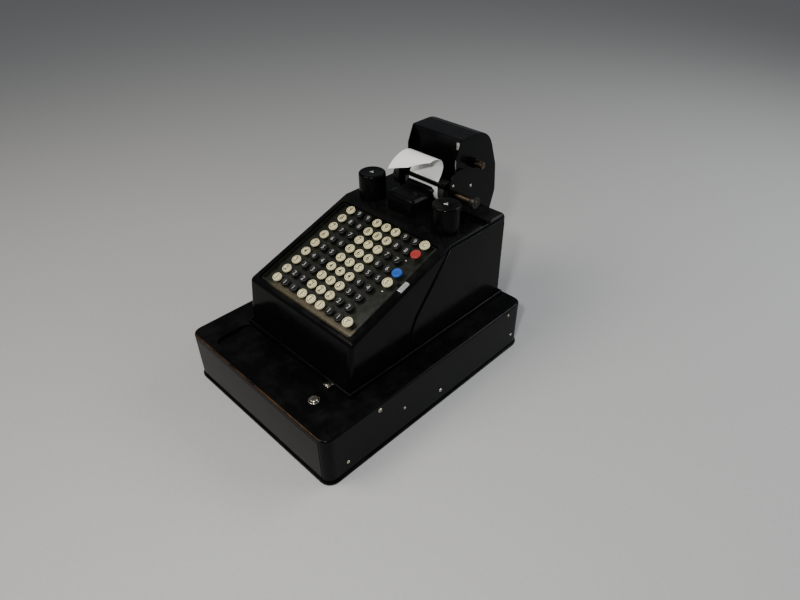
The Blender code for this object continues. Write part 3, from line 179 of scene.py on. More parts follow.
# Black stoving enamel: deep gloss with a slight orange peel, dulled by dust on the faces that look up,
# with a few rubbed and chipped spots where the brown undercoat comes through. Its specular level is far
# below a real gloss paint's, so that the black stays as deep as it looks in dim room light.
black_enamel, tree = new_material("black_stoving_enamel")
facing = add(tree, "ShaderNodeNewGeometry")
up = add(tree, "ShaderNodeSeparateXYZ", links={0: facing.outputs["Normal"]}).outputs["Z"]
dusty = add(
    tree, "ShaderNodeMath", {"operation": "MULTIPLY"},
    {0: span(tree, up, 0.55, 1.0), 1: span(tree, noise(tree, 42.0, 5.0, 0.62), 0.42, 0.72, 0.05, 1.0)},
).outputs[0]
clean = mixed(tree, noise(tree, 60.0, 2.0), "#050506", "#0a0a0b")
with_dust = mixed(tree, span(tree, dusty, 0.0, 1.0, 0.0, 0.03), clean, "#85827a")
chips = span(tree, noise(tree, 5.0, 4.0, 0.7), 0.735, 0.75)
paint = mixed(tree, chips, with_dust, "#2c2018")
smear = span(tree, noise(tree, 26.0, 4.0, 0.6), 0.3, 0.75, 0.1, 0.26)
dulled = add(
    tree, "ShaderNodeMath", {"operation": "MULTIPLY_ADD", 1: 0.2}, {0: dusty, 2: smear}
).outputs[0]
close_material(
    tree, paint, dulled, bumped(tree, noise(tree, 1.8, 2.0), 0.03, 0.35),
    {"IOR": 1.4, "Specular IOR Level": 0.1},
)


def only(piece):
    """Makes one object the whole selection and the active one."""
    bpy.ops.object.select_all(action="DESELECT")
    piece.select_set(True)
    bpy.context.view_layer.objects.active = piece


def apply_modifiers(piece):
    only(piece)
    for step in list(piece.modifiers):
        bpy.ops.object.modifier_apply(modifier=step.name)


def fine_copy(node_name, finish, body, edge_mm=0.4, angle=32, segments=2):
    """The node's own shape as one skin: faces merged, edges broken by a small round, curves shaded smooth."""
    source = frame["nodes"][node_name]
    mesh = source.data.copy()
    piece = bpy.data.objects.new("fine_" + node_name, mesh)
    bpy.context.scene.collection.objects.link(piece)
    only(piece)
    mesh.materials.clear()
    mesh.materials.append(finish)
    bpy.ops.object.mode_set(mode="EDIT")
    bpy.ops.mesh.select_all(action="SELECT")
    bpy.ops.mesh.remove_doubles(threshold=0.000004)
    bpy.ops.mesh.customdata_custom_splitnormals_clear()
    bpy.ops.mesh.dissolve_limited(angle_limit=math.radians(0.6))
    bpy.ops.object.mode_set(mode="OBJECT")
    if edge_mm:
        bevel = piece.modifiers.new("edge", "BEVEL")
        bevel.width = edge_mm * MM
        bevel.segments = segments
        bevel.limit_method = "ANGLE"
        bevel.angle_limit = math.radians(angle)
        bevel.miter_outer = "MITER_ARC"
        apply_modifiers(piece)
    bpy.ops.object.shade_smooth_by_angle(angle=math.radians(angle))
    even = piece.modifiers.new("even", "WEIGHTED_NORMAL")
    even.keep_sharp = True
    apply_modifiers(piece)
    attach(piece, body)
    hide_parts(node_name)
    return piece


# The same enamel on the cover, with a painted reflection: a patchy tan line along its front top edge
# where the rounded edge catches the light. It is grey with dust and specks on the faces that look up.
cover_enamel, tree = new_material("black_stoving_enamel_edge_reflection")
cover_low, cover_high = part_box("base_cover")
place = add(tree, "ShaderNodeSeparateXYZ", links={0: add(tree, "ShaderNodeTexCoord").outputs["Object"]})
# Painted reflection: a patchy tan strip along the cover's front top edge, where its rounded edge catches the
# light.
near_front = span(tree, place.outputs["Y"], cover_low.y + 1.6 * MM, cover_low.y + 2.6 * MM, 1.0, 0.0)
near_top = span(tree, place.outputs["Z"], cover_high.z - 1.9 * MM, cover_high.z - 1.0 * MM)
painted_edge_reflection = add(tree, "ShaderNodeMath", {"operation": "MULTIPLY"}, {0: near_front, 1: near_top}).outputs[0]
patchy_edge_reflection = add(
    tree, "ShaderNodeMath", {"operation": "MULTIPLY"},
    {0: painted_edge_reflection, 1: span(tree, noise(tree, 30.0, 5.0, 0.7), 0.38, 0.62, 0.1, 0.6)},
).outputs[0]
dust = span(tree, noise(tree, 38.0, 5.0, 0.65), 0.46, 0.8, 0.0, 0.03)
specks = span(tree, noise(tree, 2.6, 4.0, 0.7), 0.7, 0.76, 0.0, 0.2)
facing = add(tree, "ShaderNodeNewGeometry")
up = span(tree, add(tree, "ShaderNodeSeparateXYZ", links={0: facing.outputs["Normal"]}).outputs["Z"], 0.7, 1.0)
settled = add(
    tree, "ShaderNodeMath", {"operation": "MULTIPLY"},
    {0: up, 1: add(tree, "ShaderNodeMath", {"operation": "MAXIMUM"}, {0: dust, 1: specks}).outputs[0]},
).outputs[0]
dusted = mixed(tree, settled, mixed(tree, noise(tree, 60.0, 2.0), "#050506", "#0a0a0b"), "#85827a")
# The tan mixed in here is the painted edge reflection; the grey is dust.
close_material(
    tree, mixed(tree, patchy_edge_reflection, dusted, "#66492f"), span(tree, noise(tree, 26.0, 4.0, 0.6), 0.3, 0.75, 0.1, 0.3),
    bumped(tree, noise(tree, 1.8, 2.0), 0.03, 0.35), {"IOR": 1.4, "Specular IOR Level": 0.1},
)
fine_copy("base_plate", black_enamel, "machine", 1.0)
fine_copy("base_cover", cover_enamel, "machine", 0.3)

# ---------------------------------------------------------------- side screws and hold-down lug
# Nickelled round-head screws hold the cover's sides to the drawer frame, and a bright lug and screw
# clamp the machine's front foot to the base. Turned from steel rod, with a sawn slot.

# Bright nickel plate on steel: a clear metal with fine scratches and a little yellowing.
nickel, tree = new_material("nickel_plate")
scratch = noise(tree, 0.9, 5.0, 0.7)
close_material(
    tree, mixed(tree, noise(tree, 9.0), "#cfc9bb", "#b5ac98"), span(tree, scratch, 0.3, 0.8, 0.16, 0.38),
    settings={"Metallic": 1.0},
)


TIP_RADIUS = 0.00002


def turned_shape(name, rings, finish, sides=40):
    """A turned piece on +Z through the origin from (radius, height) rings, bottom to top, by extrusion."""
    bpy.ops.mesh.primitive_circle_add(
        vertices=sides, radius=rings[0][0], fill_type="NGON", location=(0, 0, rings[0][1])
    )
    piece = bpy.context.object
    piece.name = name
    piece.data.name = name
    bpy.ops.object.mode_set(mode="EDIT")
    bpy.ops.mesh.select_all(action="SELECT")
    radius = rings[0][0]
    height = rings[0][1]
    for wide, high in rings[1:]:
        bpy.ops.mesh.extrude_region_move(TRANSFORM_OT_translate={"value": (0, 0, high - height)})
        share = max(wide, TIP_RADIUS) / radius
        bpy.ops.transform.resize(value=(share, share, 1), center_override=(0, 0, high))
        radius = max(wide, TIP_RADIUS)
        height = high
    bpy.ops.mesh.select_all(action="SELECT")
    bpy.ops.mesh.normals_make_consistent(inside=False)
    bpy.ops.object.mode_set(mode="OBJECT")
    bpy.ops.object.transform_apply(location=True, rotation=True, scale=True)
    bpy.ops.object.shade_smooth_by_angle(angle=math.radians(40))
    piece.data.materials.append(finish)
    return piece


def placed_copy(model, name, matrix):
    """A copy of a model with its own mesh, its place held in the mesh."""
    piece = model.copy()
    piece.data = model.data.copy()
    piece.name = name
    piece.data.name = name
    bpy.context.scene.collection.objects.link(piece)
    piece.data.transform(matrix)
    if matrix.determinant() < 0:
        piece.data.flip_normals()
    return piece


def joined(name, pieces):
    """Several objects as one, under the first one's materials and the others'."""
    bpy.ops.object.select_all(action="DESELECT")
    for piece in pieces:
        piece.select_set(True)
    bpy.context.view_layer.objects.active = pieces[0]
    bpy.ops.object.join()
    pieces[0].name = name
    pieces[0].data.name = name
    return pieces[0]


def cut_box(piece, centre, size):
    """Cuts a box out of a piece."""
    bpy.ops.object.select_all(action="DESELECT")
    bpy.ops.mesh.primitive_cube_add(size=1.0, location=centre)
    cutter = bpy.context.object
    cutter.scale = size
    bpy.ops.object.transform_apply(location=True, rotation=True, scale=True)
    step = piece.modifiers.new("cut", "BOOLEAN")
    step.operation = "DIFFERENCE"
    step.object = cutter
    apply_modifiers(piece)
    bpy.data.objects.remove(cutter, do_unlink=True)


def screw_model(name, radius_mm):
    """A round screw head on +Z with its slot."""
    r = radius_mm * MM
    rings = [
        (r, 0), (r, r * 0.15), (r * 0.93, r * 0.3), (r * 0.75, r * 0.46), (r * 0.45, r * 0.56),
        (r * 0.1, r * 0.6),
    ]
    head = turned_shape(name, rings, nickel, 24)
    cut_box(head, (0, 0, r * 0.55), (r * 2.4, r * 0.26, r * 0.5))
    return head


small_screw = screw_model("small_screw", 2.6)
cover_low, cover_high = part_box("base_cover")
side_screws = []
SIDE_SCREWS = ((34, 23, 1.0), (93, 74, 1.35), (139, 43, 0.8), (213, 24, 1.15), (370, 73, 0.9), (383, 27, 0.9))
for side, face in ((1, cover_high.x), (-1, cover_low.x)):
    for from_front, height, size in SIDE_SCREWS:
        slot_turn = Matrix.Rotation(math.radians(25 + height), 4, "Z")
        turn = Matrix.Rotation(math.radians(90 * side), 4, "Y") @ slot_turn
        spot = Matrix.Translation((face - side * 0.05 * MM, cover_low.y + from_front * MM, height * MM))
        side_screws.append(placed_copy(small_screw, "side_screw", spot @ turn @ Matrix.Scale(size, 4)))
side_screws = joined("side_screws", side_screws)
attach(side_screws, "machine")

pan_low, pan_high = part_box("machine_pan")
LUG_X = pan_high.x - 42 * MM
bpy.ops.object.select_all(action="DESELECT")
bpy.ops.mesh.primitive_cube_add(size=1.0, location=(LUG_X, pan_low.y - 3.2 * MM, cover_high.z + 0.9 * MM))
lug = bpy.context.object
lug.scale = (11 * MM, 6 * MM, 1.6 * MM)
bpy.ops.object.transform_apply(location=True, rotation=True, scale=True)
bpy.ops.object.mode_set(mode="EDIT")
bpy.ops.mesh.select_all(action="SELECT")
bpy.ops.mesh.bevel(offset=0.6 * MM, segments=3, affect="EDGES")
bpy.ops.object.mode_set(mode="OBJECT")
bpy.ops.object.shade_smooth_by_angle(angle=math.radians(40))
lug.data.materials.append(nickel)
lug_screw = placed_copy(
    small_screw, "lug_screw",
    Matrix.Translation((LUG_X, pan_low.y - 3.2 * MM, cover_high.z + 1.6 * MM)) @ Matrix.Rotation(0.7, 4, "Z"),
)
hold_down = joined("hold_down_lug", [lug, lug_screw])
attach(hold_down, "machine")
bpy.data.objects.remove(small_screw, do_unlink=True)

# ---------------------------------------------------------------- cash drawer
# The drawer front is a steel plate in the cover's front, enamelled with it; behind it the drawer box,
# its runners and the tray with coin cups and note bays are plain painted or bare sheet steel.
fine_copy("drawer_front", black_enamel, "drawer", 0.4)

# Bare bright steel sheet, oiled and a little grey: brushed along one way by the rolling.
bare_steel, tree = new_material("bare_steel_sheet")
place = add(tree, "ShaderNodeTexCoord")
stretched = add(tree, "ShaderNodeMapping", {"Scale": (1.0, 0.06, 1.0)}, {"Vector": place.outputs["Object"]})
rolled = add(
    tree, "ShaderNodeTexNoise", {"Scale": 1800.0, "Detail": 3.0}, {"Vector": stretched.outputs[0]}
).outputs["Fac"]
close_material(
    tree, mixed(tree, noise(tree, 30.0, 4.0), "#8b8c8c", "#a7a6a1"), span(tree, rolled, 0.3, 0.7, 0.28, 0.46),
    bumped(tree, rolled, 0.01, 0.3), {"Metallic": 1.0},
)
# Dark grey hammered tray paint: matt to satin, with soft dimples a few millimetres across.
tray_paint, tree = new_material("grey_tray_paint")
dimples = add(
    tree, "ShaderNodeTexVoronoi", {"Scale": 450.0, "feature": "SMOOTH_F1"},
    {"Vector": add(tree, "ShaderNodeTexCoord").outputs["Object"]},
).outputs["Distance"]
close_material(
    tree, mixed(tree, noise(tree, 25.0, 4.0), "#262a29", "#373a38"), span(tree, dimples, 0.0, 0.8, 0.35, 0.6),
    bumped(tree, dimples, 0.08, 0.5),
)
for node_name in ("coin_tray", "note_tray"):
    fine_copy(node_name, tray_paint, "drawer", 0.4)
fine_copy("drawer_box", bare_steel, "drawer", 0.2)
for node_name in ("drawer_runner_left", "drawer_runner_right"):
    fine_copy(node_name, bare_steel, "machine", 0.2)

# ---------------------------------------------------------------- drawer lock
# A turned nickelled lock barrel in the well's floor, with its keyway, in a raised bright escutcheon
# ring pressed round it. Its cam swings below.
lock_axis = next(j for j in frame["joints"] if j["name"] == "lock_turn")["pos_m"]
fine_copy("lock_barrel", nickel, "lock", 0.25)
WELL_DEPTH = 4 * MM
BORE_RADIUS = 6.85 * MM
ring_low = cover_high.z - WELL_DEPTH
rings = [
    (8.0 * MM, 0), (8.0 * MM, 0.4 * MM), (7.7 * MM, 0.9 * MM), (7.3 * MM, 1.1 * MM),
    (6.9 * MM, 1.1 * MM), (BORE_RADIUS, -1.0 * MM), (0, -1.0 * MM),
]
escutcheon = turned_shape("lock_escutcheon", rings, nickel, 48)
bpy.ops.object.mode_set(mode="EDIT")
bpy.ops.mesh.select_mode(type="FACE")
bpy.ops.mesh.select_all(action="DESELECT")
bpy.ops.object.mode_set(mode="OBJECT")
for face in escutcheon.data.polygons:
    reach = max(Vector(escutcheon.data.vertices[i].co[:2]).length for i in face.vertices)
    inner = reach < BORE_RADIUS + 0.02 * MM and abs(face.normal.z) > 0.9
    face.select = inner or len(face.vertices) > 10
bpy.ops.object.mode_set(mode="EDIT")
bpy.ops.mesh.delete(type="FACE")
bpy.ops.mesh.select_mode(type="EDGE")
bpy.ops.mesh.select_non_manifold()
bpy.ops.mesh.bridge_edge_loops()
bpy.ops.mesh.select_all(action="SELECT")
bpy.ops.mesh.normals_make_consistent(inside=False)
bpy.ops.mesh.select_mode(type="VERT")
bpy.ops.object.mode_set(mode="OBJECT")
escutcheon.data.transform(Matrix.Translation((lock_axis[0], lock_axis[1], ring_low + 0.05 * MM)))
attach(escutcheon, "machine")

# ---------------------------------------------------------------- machine pan, case and side covers
# The case is one deep-drawn steel shell, enamelled black, standing in a shallow pan; thin covers are
# let into both sides behind the slanting groove.
fine_copy("machine_pan", black_enamel, "machine", 0.4)
fine_copy("machine_case", black_enamel, "machine", 0.35)
fine_copy("side_cover_left", black_enamel, "machine", 0.3)
fine_copy("side_cover_right", black_enamel, "machine", 0.3)

# ---------------------------------------------------------------- keyboard plate
# A shallow pan of steel sheet, enamelled olive green, dropped in the case's sloping well, with dust
# along its front edge. It is punched for every stem.

press_axis = Vector(next(j for j in frame["joints"] if j["name"] == "key_bank_1_press")["axis"])
slope_up = Vector((0, -press_axis.z, press_axis.y))
KEYBOARD = Matrix(((1, 0, 0), (0, slope_up.y, -press_axis.y), (0, slope_up.z, -press_axis.z))).to_4x4()
IN_KEYBOARD = KEYBOARD.inverted()


def slope_box(node_name):
    """A node's corners measured along the keyboard's slope: x, up the slope, and square on it."""
    corners = [IN_KEYBOARD @ v.co for v in frame["nodes"][node_name].data.vertices]
    return (
        Vector([min(c[i] for c in corners) for i in range(3)]),
        Vector([max(c[i] for c in corners) for i in range(3)]),
    )


# Olive-green stoving enamel: an even satin, thinly dusty, thick with tan dust along the front edge.
olive_enamel, tree = new_material("olive_stoving_enamel")
plate_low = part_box("keyboard_plate")[0]
on_object = add(tree, "ShaderNodeTexCoord").outputs["Object"]
place = add(tree, "ShaderNodeSeparateXYZ", links={0: on_object})
near_edge = span(tree, place.outputs["Y"], plate_low.y + 11 * MM, plate_low.y + 15 * MM, 1.0, 0.0)
off_corner = span(tree, place.outputs["X"], plate_low.x + 18 * MM, plate_low.x + 34 * MM)
front_dust = add(tree, "ShaderNodeMath", {"operation": "MULTIPLY"}, {0: near_edge, 1: off_corner}).outputs[0]
speckle = span(tree, noise(tree, 3.2, 5.0, 0.65), 0.4, 0.6)
thick = add(
    tree, "ShaderNodeMath", {"operation": "MULTIPLY"}, {0: front_dust, 1: span(tree, speckle, 0, 1, 0.5, 0.95)}
)
green = mixed(tree, noise(tree, 18.0, 4.0), "#0b0d07", "#15180e")
aged_green = mixed(tree, span(tree, noise(tree, 7.0, 5.0, 0.7), 0.5, 0.8, 0.0, 0.3), green, "#27281a")
close_material(
    tree, mixed(tree, thick.outputs[0], aged_green, "#544b38"),
    span(tree, noise(tree, 9.0, 3.0), 0.3, 0.7, 0.3, 0.5),
    bumped(tree, noise(tree, 1.2, 2.0), 0.03, 0.4),
)

KEY_ROWS = 9
bank_low, bank_high = slope_box("key_bank_1")
last_low = slope_box("key_bank_8")[0]
total_low, total_high = slope_box("total_key")
CAP_RADIUS = (bank_high.x - bank_low.x) / 2
FIRST_X = bank_low.x + CAP_RADIUS
KEY_PITCH = (last_low.x - bank_low.x) / 7
FIRST_V = bank_low.y + CAP_RADIUS
CAP_TOP = bank_high.z
FUNCTION_RADIUS = (total_high.x - total_low.x) / 2
FUNCTION_TOP = total_high.z
RAIL_LOW = bank_low.z
pan_floor_low, pan_floor_high = slope_box("keyboard_plate")
PAN_SHEET = 1.5 * MM
PAN_RIM = 0.8 * MM
PAN_CORNER = 5 * MM
pan_centre = (pan_floor_low + pan_floor_high) / 2
pan_size = pan_floor_high - pan_floor_low
bpy.ops.object.select_all(action="DESELECT")
bpy.ops.mesh.primitive_cube_add(size=1.0, location=pan_centre)
plate = bpy.context.object
plate.name = "green_key_plate"
plate.data.name = "green_key_plate"
plate.scale = pan_size
bpy.ops.object.transform_apply(location=True, rotation=True, scale=True)
bpy.ops.object.mode_set(mode="EDIT")
bpy.ops.mesh.select_all(action="DESELECT")
bpy.ops.object.mode_set(mode="OBJECT")
for edge in plate.data.edges:
    a, b = (plate.data.vertices[i].co for i in edge.vertices)
    edge.select = abs(a.z - b.z) > pan_size.z / 2
bpy.ops.object.mode_set(mode="EDIT")
bpy.ops.mesh.select_mode(type="EDGE")
bpy.ops.mesh.bevel(offset=PAN_CORNER, segments=8, affect="EDGES")
bpy.ops.mesh.select_mode(type="FACE")
bpy.ops.mesh.select_all(action="DESELECT")
bpy.ops.object.mode_set(mode="OBJECT")
for face in plate.data.polygons:
    face.select = face.normal.z > 0.9
bpy.ops.object.mode_set(mode="EDIT")
bpy.ops.mesh.inset(thickness=PAN_RIM)
bpy.ops.mesh.extrude_region_move(
    TRANSFORM_OT_translate={"value": (0, 0, -(pan_size.z - PAN_SHEET))}
)
bpy.ops.object.mode_set(mode="OBJECT")
holes = []
hole_model = turned_shape("hole_model", [(3.6 * MM, -4 * MM), (3.6 * MM, 4 * MM)], olive_enamel, 20)
places = [(FIRST_X + c * KEY_PITCH, FIRST_V + r * KEY_PITCH) for c in range(8) for r in range(KEY_ROWS)]
function_rows = {"total_key": 0, "subtotal_key": 4, "non_add_key": 5, "subtract_key": 7, "clear_key": 8}
places += [(FIRST_X + 8 * KEY_PITCH, FIRST_V + row * KEY_PITCH) for row in function_rows.values()]
for x, v in places:
    holes.append(placed_copy(hole_model, "hole", Matrix.Translation((x, v, pan_floor_low.z + PAN_SHEET / 2))))
bpy.data.objects.remove(hole_model, do_unlink=True)
hole_set = joined("hole_set", holes)
step = plate.modifiers.new("holes", "BOOLEAN")
step.operation = "DIFFERENCE"
step.object = hole_set
apply_modifiers(plate)
bpy.data.objects.remove(hole_set, do_unlink=True)
plate.data.materials.clear()
plate.data.materials.append(olive_enamel)
plate.data.transform(KEYBOARD)
only(plate)
bpy.ops.object.shade_smooth_by_angle(angle=math.radians(35))
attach(plate, "machine")
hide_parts("keyboard_plate")

# ---------------------------------------------------------------- digit keys
# Eight columns of nine round keys, moulded in two colours with the digit let into a dished top, each
# pressed on a flat steel stem. Cream columns read pence and hundreds apart from the black ones.

# Moulded cream key plastic, aged: a warm gloss, a little yellower in patches, with finger grime.
cream_plastic, tree = new_material("moulded_cream_plastic")
grime = span(tree, noise(tree, 4.0, 5.0, 0.7), 0.5, 0.8, 0.0, 0.25)
close_material(
    tree, mixed(tree, grime, mixed(tree, noise(tree, 15.0), "#f3ebc0", "#e6dba4"), "#a1966a"),
    span(tree, noise(tree, 2.5, 3.0), 0.3, 0.7, 0.16, 0.34), settings={"IOR": 1.5},
)
# Moulded black key plastic: dulled and greyed a little by handling.
black_plastic, tree = new_material("moulded_black_plastic")
close_material(
    tree, mixed(tree, span(tree, noise(tree, 4.0, 5.0, 0.7), 0.45, 0.8, 0.0, 0.5), "#0b0b0b", "#2a2925"),
    span(tree, noise(tree, 2.5, 3.0), 0.3, 0.7, 0.34, 0.52), settings={"IOR": 1.42},
)
# The dark fill of the digits and of the ring round each cream top.
dark_fill, tree = new_material("dark_digit_fill")
close_material(tree, mixed(tree, noise(tree, 0.8, 3.0), "#11110f", "#2b2a25"), 0.45)
# The white fill of the digits on the black keys, a little worn.
white_fill, tree = new_material("white_digit_fill")
close_material(tree, mixed(tree, span(tree, noise(tree, 0.8, 4.0), 0.4, 0.75), "#b9b8b2", "#7d7b72"), 0.5)

CAP_HEIGHT = 3.6 * MM
DISH = 0.55 * MM


def cap_model(name, radius, body_finish, ring_finish):
    """A round key on +Z with its top rim at z = 0: skirt, ringed rim and dished top."""
    r = radius
    rings = [
        (r * 0.55, -CAP_HEIGHT), (r * 0.93, -CAP_HEIGHT), (r, -CAP_HEIGHT + 0.4 * MM), (r, -1.0 * MM),
        (r * 0.975, -0.45 * MM), (r * 0.93, -0.12 * MM), (r * 0.87, 0), (r * 0.79, -0.1 * MM),
        (r * 0.67, -0.24 * MM),
        (r * 0.55, -DISH * 0.72), (r * 0.36, -DISH * 0.92), (r * 0.16, -DISH), (0, -DISH),
    ]
    model = turned_shape(name, rings, body_finish, 40)
    model.data.materials.append(ring_finish)
    for face in model.data.polygons:
        reach = Vector(face.center[:2]).length if len(face.vertices) == 4 else 0
        if face.center.z > -0.35 * MM and r * 0.7 < reach < r * 0.79:
            face.material_index = 1
    return model


def digit_model(name, text, size, finish, boldness=0.0):
    """A character as a thin raised mesh centred on the origin, its face up."""
    bpy.ops.object.select_all(action="DESELECT")
    bpy.ops.object.text_add(location=(0, 0, 0))
    made = bpy.context.object
    made.data.body = text
    made.data.size = size
    made.data.align_x = "CENTER"
    made.data.align_y = "CENTER"
    made.data.extrude = 0.16 * MM
    made.data.offset = boldness
    made.data.resolution_u = 3
    bpy.ops.object.convert(target="MESH")
    made = bpy.context.object
    made.name = name
    bpy.ops.object.mode_set(mode="EDIT")
    bpy.ops.mesh.select_all(action="SELECT")
    bpy.ops.mesh.remove_doubles(threshold=0.000005)
    bpy.ops.mesh.normals_make_consistent(inside=False)
    bpy.ops.object.mode_set(mode="OBJECT")
    low = [min(v.co[i] for v in made.data.vertices) for i in range(2)]
    high = [max(v.co[i] for v in made.data.vertices) for i in range(2)]
    made.data.transform(Matrix.Translation((-(low[0] + high[0]) / 2, -(low[1] + high[1]) / 2, 0)))
    made.data.materials.clear()
    made.data.materials.append(finish)
    return made


def block(name, low, high, finish, edge_mm=0.3):
    """A bar or plate between two corners, its edges broken by a bevel."""
    low = Vector(low)
    high = Vector(high)
    bpy.ops.object.select_all(action="DESELECT")
    bpy.ops.mesh.primitive_cube_add(size=1.0, location=(low + high) / 2)
    made = bpy.context.object
    made.name = name
    made.data.name = name
    made.scale = high - low
    bpy.ops.object.transform_apply(location=True, rotation=True, scale=True)
    bpy.ops.object.mode_set(mode="EDIT")
    bpy.ops.mesh.select_all(action="SELECT")
    bpy.ops.mesh.bevel(offset=edge_mm * MM, segments=2, affect="EDGES")
    bpy.ops.object.mode_set(mode="OBJECT")
    bpy.ops.object.shade_smooth_by_angle(angle=math.radians(40))
    made.data.materials.append(finish)
    return made


VISIBLE_CAP = 0.91 * CAP_RADIUS
cream_cap = cap_model("cream_cap", VISIBLE_CAP, cream_plastic, dark_fill)
black_cap = cap_model("black_cap", VISIBLE_CAP, black_plastic, black_plastic)
dark_digits = [digit_model(f"dark_{d}", str(d), 10.6 * MM, dark_fill, 0.16 * MM) for d in range(1, 10)]
white_digits = [digit_model(f"white_{d}", str(d), 9.8 * MM, white_fill) for d in range(1, 10)]
STEM = 2.4 * MM
STEM_DEPTH = 5 * MM
stem_model = block(
    "stem", (-STEM * 0.4, -STEM_DEPTH / 2, RAIL_LOW + 1 * MM - CAP_TOP),
    (STEM * 0.4, STEM_DEPTH / 2, -CAP_HEIGHT + 0.6 * MM), bare_steel, 0.2,
)
digit_lift = -DISH * 0.8
for column in range(8):
    cream = column in (0, 3, 4, 5)
    low, high = slope_box(f"key_bank_{column + 1}")
    x = (low.x + high.x) / 2
    rail = block(
        "rail", (x - STEM / 2, FIRST_V - STEM_DEPTH, low.z),
        (x + STEM / 2, FIRST_V + 8 * KEY_PITCH + STEM_DEPTH, low.z + 4 * MM), bare_steel, 0.3,
    )
    pieces = [rail]
    for row in range(KEY_ROWS):
        spot = Matrix.Translation((x, FIRST_V + row * KEY_PITCH, CAP_TOP))
        pieces.append(placed_copy(cream_cap if cream else black_cap, "cap", spot))
        digit = (dark_digits if cream else white_digits)[row]
        pieces.append(placed_copy(digit, "digit", spot @ Matrix.Translation((0, 0, digit_lift))))
        pieces.append(placed_copy(stem_model, "stem_copy", spot))
    bank = joined(f"digit_keys_{column + 1}", pieces)
    bank.data.transform(KEYBOARD)
    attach(bank, f"key_bank_{column + 1}")
    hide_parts(f"key_bank_{column + 1}")

# ---------------------------------------------------------------- function keys and repeat tab
# Larger, taller caps in their own column at the right: cream total, sub-total and clear keys, a blue
# non-add and a red subtract key. The white-metal tab beside them slides along the well's edge.

# Moulded coloured plastics of the two odd keys: full gloss, a little lighter in patches.
blue_plastic, tree = new_material("moulded_blue_plastic")
close_material(tree, mixed(tree, noise(tree, 5.0, 4.0), "#1d4f9f", "#2a5dab"), 0.3, settings={"IOR": 1.5})
red_plastic, tree = new_material("moulded_red_plastic")
close_material(tree, mixed(tree, noise(tree, 5.0, 4.0), "#96292a", "#a53a34"), 0.3, settings={"IOR": 1.5})
for node_name, mark, finish, ring_finish, mark_finish, slot in (
    ("total_key", "T", cream_plastic, dark_fill, dark_fill, "ivory_keys"),
    ("subtotal_key", "S", cream_plastic, dark_fill, dark_fill, "ivory_keys"),
    ("non_add_key", "#", blue_plastic, blue_plastic, blue_plastic, "blue_key"),
    ("subtract_key", "-", red_plastic, red_plastic, red_plastic, "red_key"),
    ("clear_key", "C", cream_plastic, dark_fill, dark_fill, "ivory_keys"),
):
    low, high = slope_box(node_name)
    spot = Matrix.Translation(((low.x + high.x) / 2, low.y + FUNCTION_RADIUS, FUNCTION_TOP))
    cap = cap_model(node_name + "_cap", 0.88 * FUNCTION_RADIUS, finish, ring_finish)
    cap.data.transform(spot)
    sign = digit_model(node_name + "_mark", mark, 9.4 * MM, mark_finish, 0.1 * MM)
    sign.data.transform(spot @ Matrix.Translation((0, 0, digit_lift)))
    stem = block(
        "function_stem", (-STEM * 0.4, -STEM_DEPTH / 2, low.z - FUNCTION_TOP),
        (STEM * 0.4, STEM_DEPTH / 2, -CAP_HEIGHT + 0.6 * MM), bare_steel, 0.2,
    )
    stem.data.transform(spot)
    key = joined(node_name.replace("_key", "_function_key"), [cap, sign, stem])
    key.data.transform(KEYBOARD)
    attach(key, node_name)
    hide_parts(node_name)
for model in (cream_cap, black_cap, stem_model, *dark_digits, *white_digits):
    bpy.data.objects.remove(model, do_unlink=True)

# White metal: a cast alloy, pale and soft in its shine, scuffed by fingers.
white_metal, tree = new_material("cast_white_metal")
close_material(
    tree, mixed(tree, noise(tree, 3.0, 4.0), "#d9dad8", "#c3c4c1"),
    span(tree, noise(tree, 1.5, 4.0), 0.3, 0.7, 0.28, 0.45),
    settings={"Metallic": 0.75},
)
low, high = slope_box("repeat_tab")
TAB_WIDE = 6.2 * MM
TAB_THICK = 3 * MM
TAB_ARM = 5 * MM
finger = block("repeat_finger", (high.x - TAB_WIDE, low.y, high.z - TAB_THICK), high, white_metal, 0.1)
only(finger)
bpy.ops.object.mode_set(mode="EDIT")
bpy.ops.mesh.select_all(action="DESELECT")
bpy.ops.object.mode_set(mode="OBJECT")
for face in finger.data.polygons:
    face.select = face.normal.z > 0.9
bpy.ops.object.mode_set(mode="EDIT")
bpy.ops.mesh.inset(thickness=1.1 * MM)
bpy.ops.object.mode_set(mode="OBJECT")
rounding = finger.modifiers.new("soft", "SUBSURF")
rounding.levels = 3
rounding.render_levels = 3
apply_modifiers(finger)
bpy.ops.object.shade_smooth_by_angle(angle=math.radians(60))
finger.data.transform(KEYBOARD)
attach(finger, "repeat_tab")
tab_middle = (low.y + high.y) / 2
tab_arm = block(
    "tab_arm", (low.x, tab_middle - TAB_ARM / 2, high.z - TAB_THICK + 0.1 * MM),
    (high.x - TAB_WIDE / 2, tab_middle + TAB_ARM / 2, high.z - TAB_THICK + 1.4 * MM), black_enamel, 0.2,
)
tab_stem = block(
    "tab_stem", (low.x, tab_middle - TAB_ARM / 2, low.z),
    (low.x + STEM, tab_middle + TAB_ARM / 2, high.z - TAB_THICK + 0.5 * MM), bare_steel, 0.2,
)
repeat_arm = joined("repeat_arm", [tab_arm, tab_stem])
repeat_arm.data.transform(KEYBOARD)
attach(repeat_arm, "repeat_tab")
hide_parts("repeat_tab")

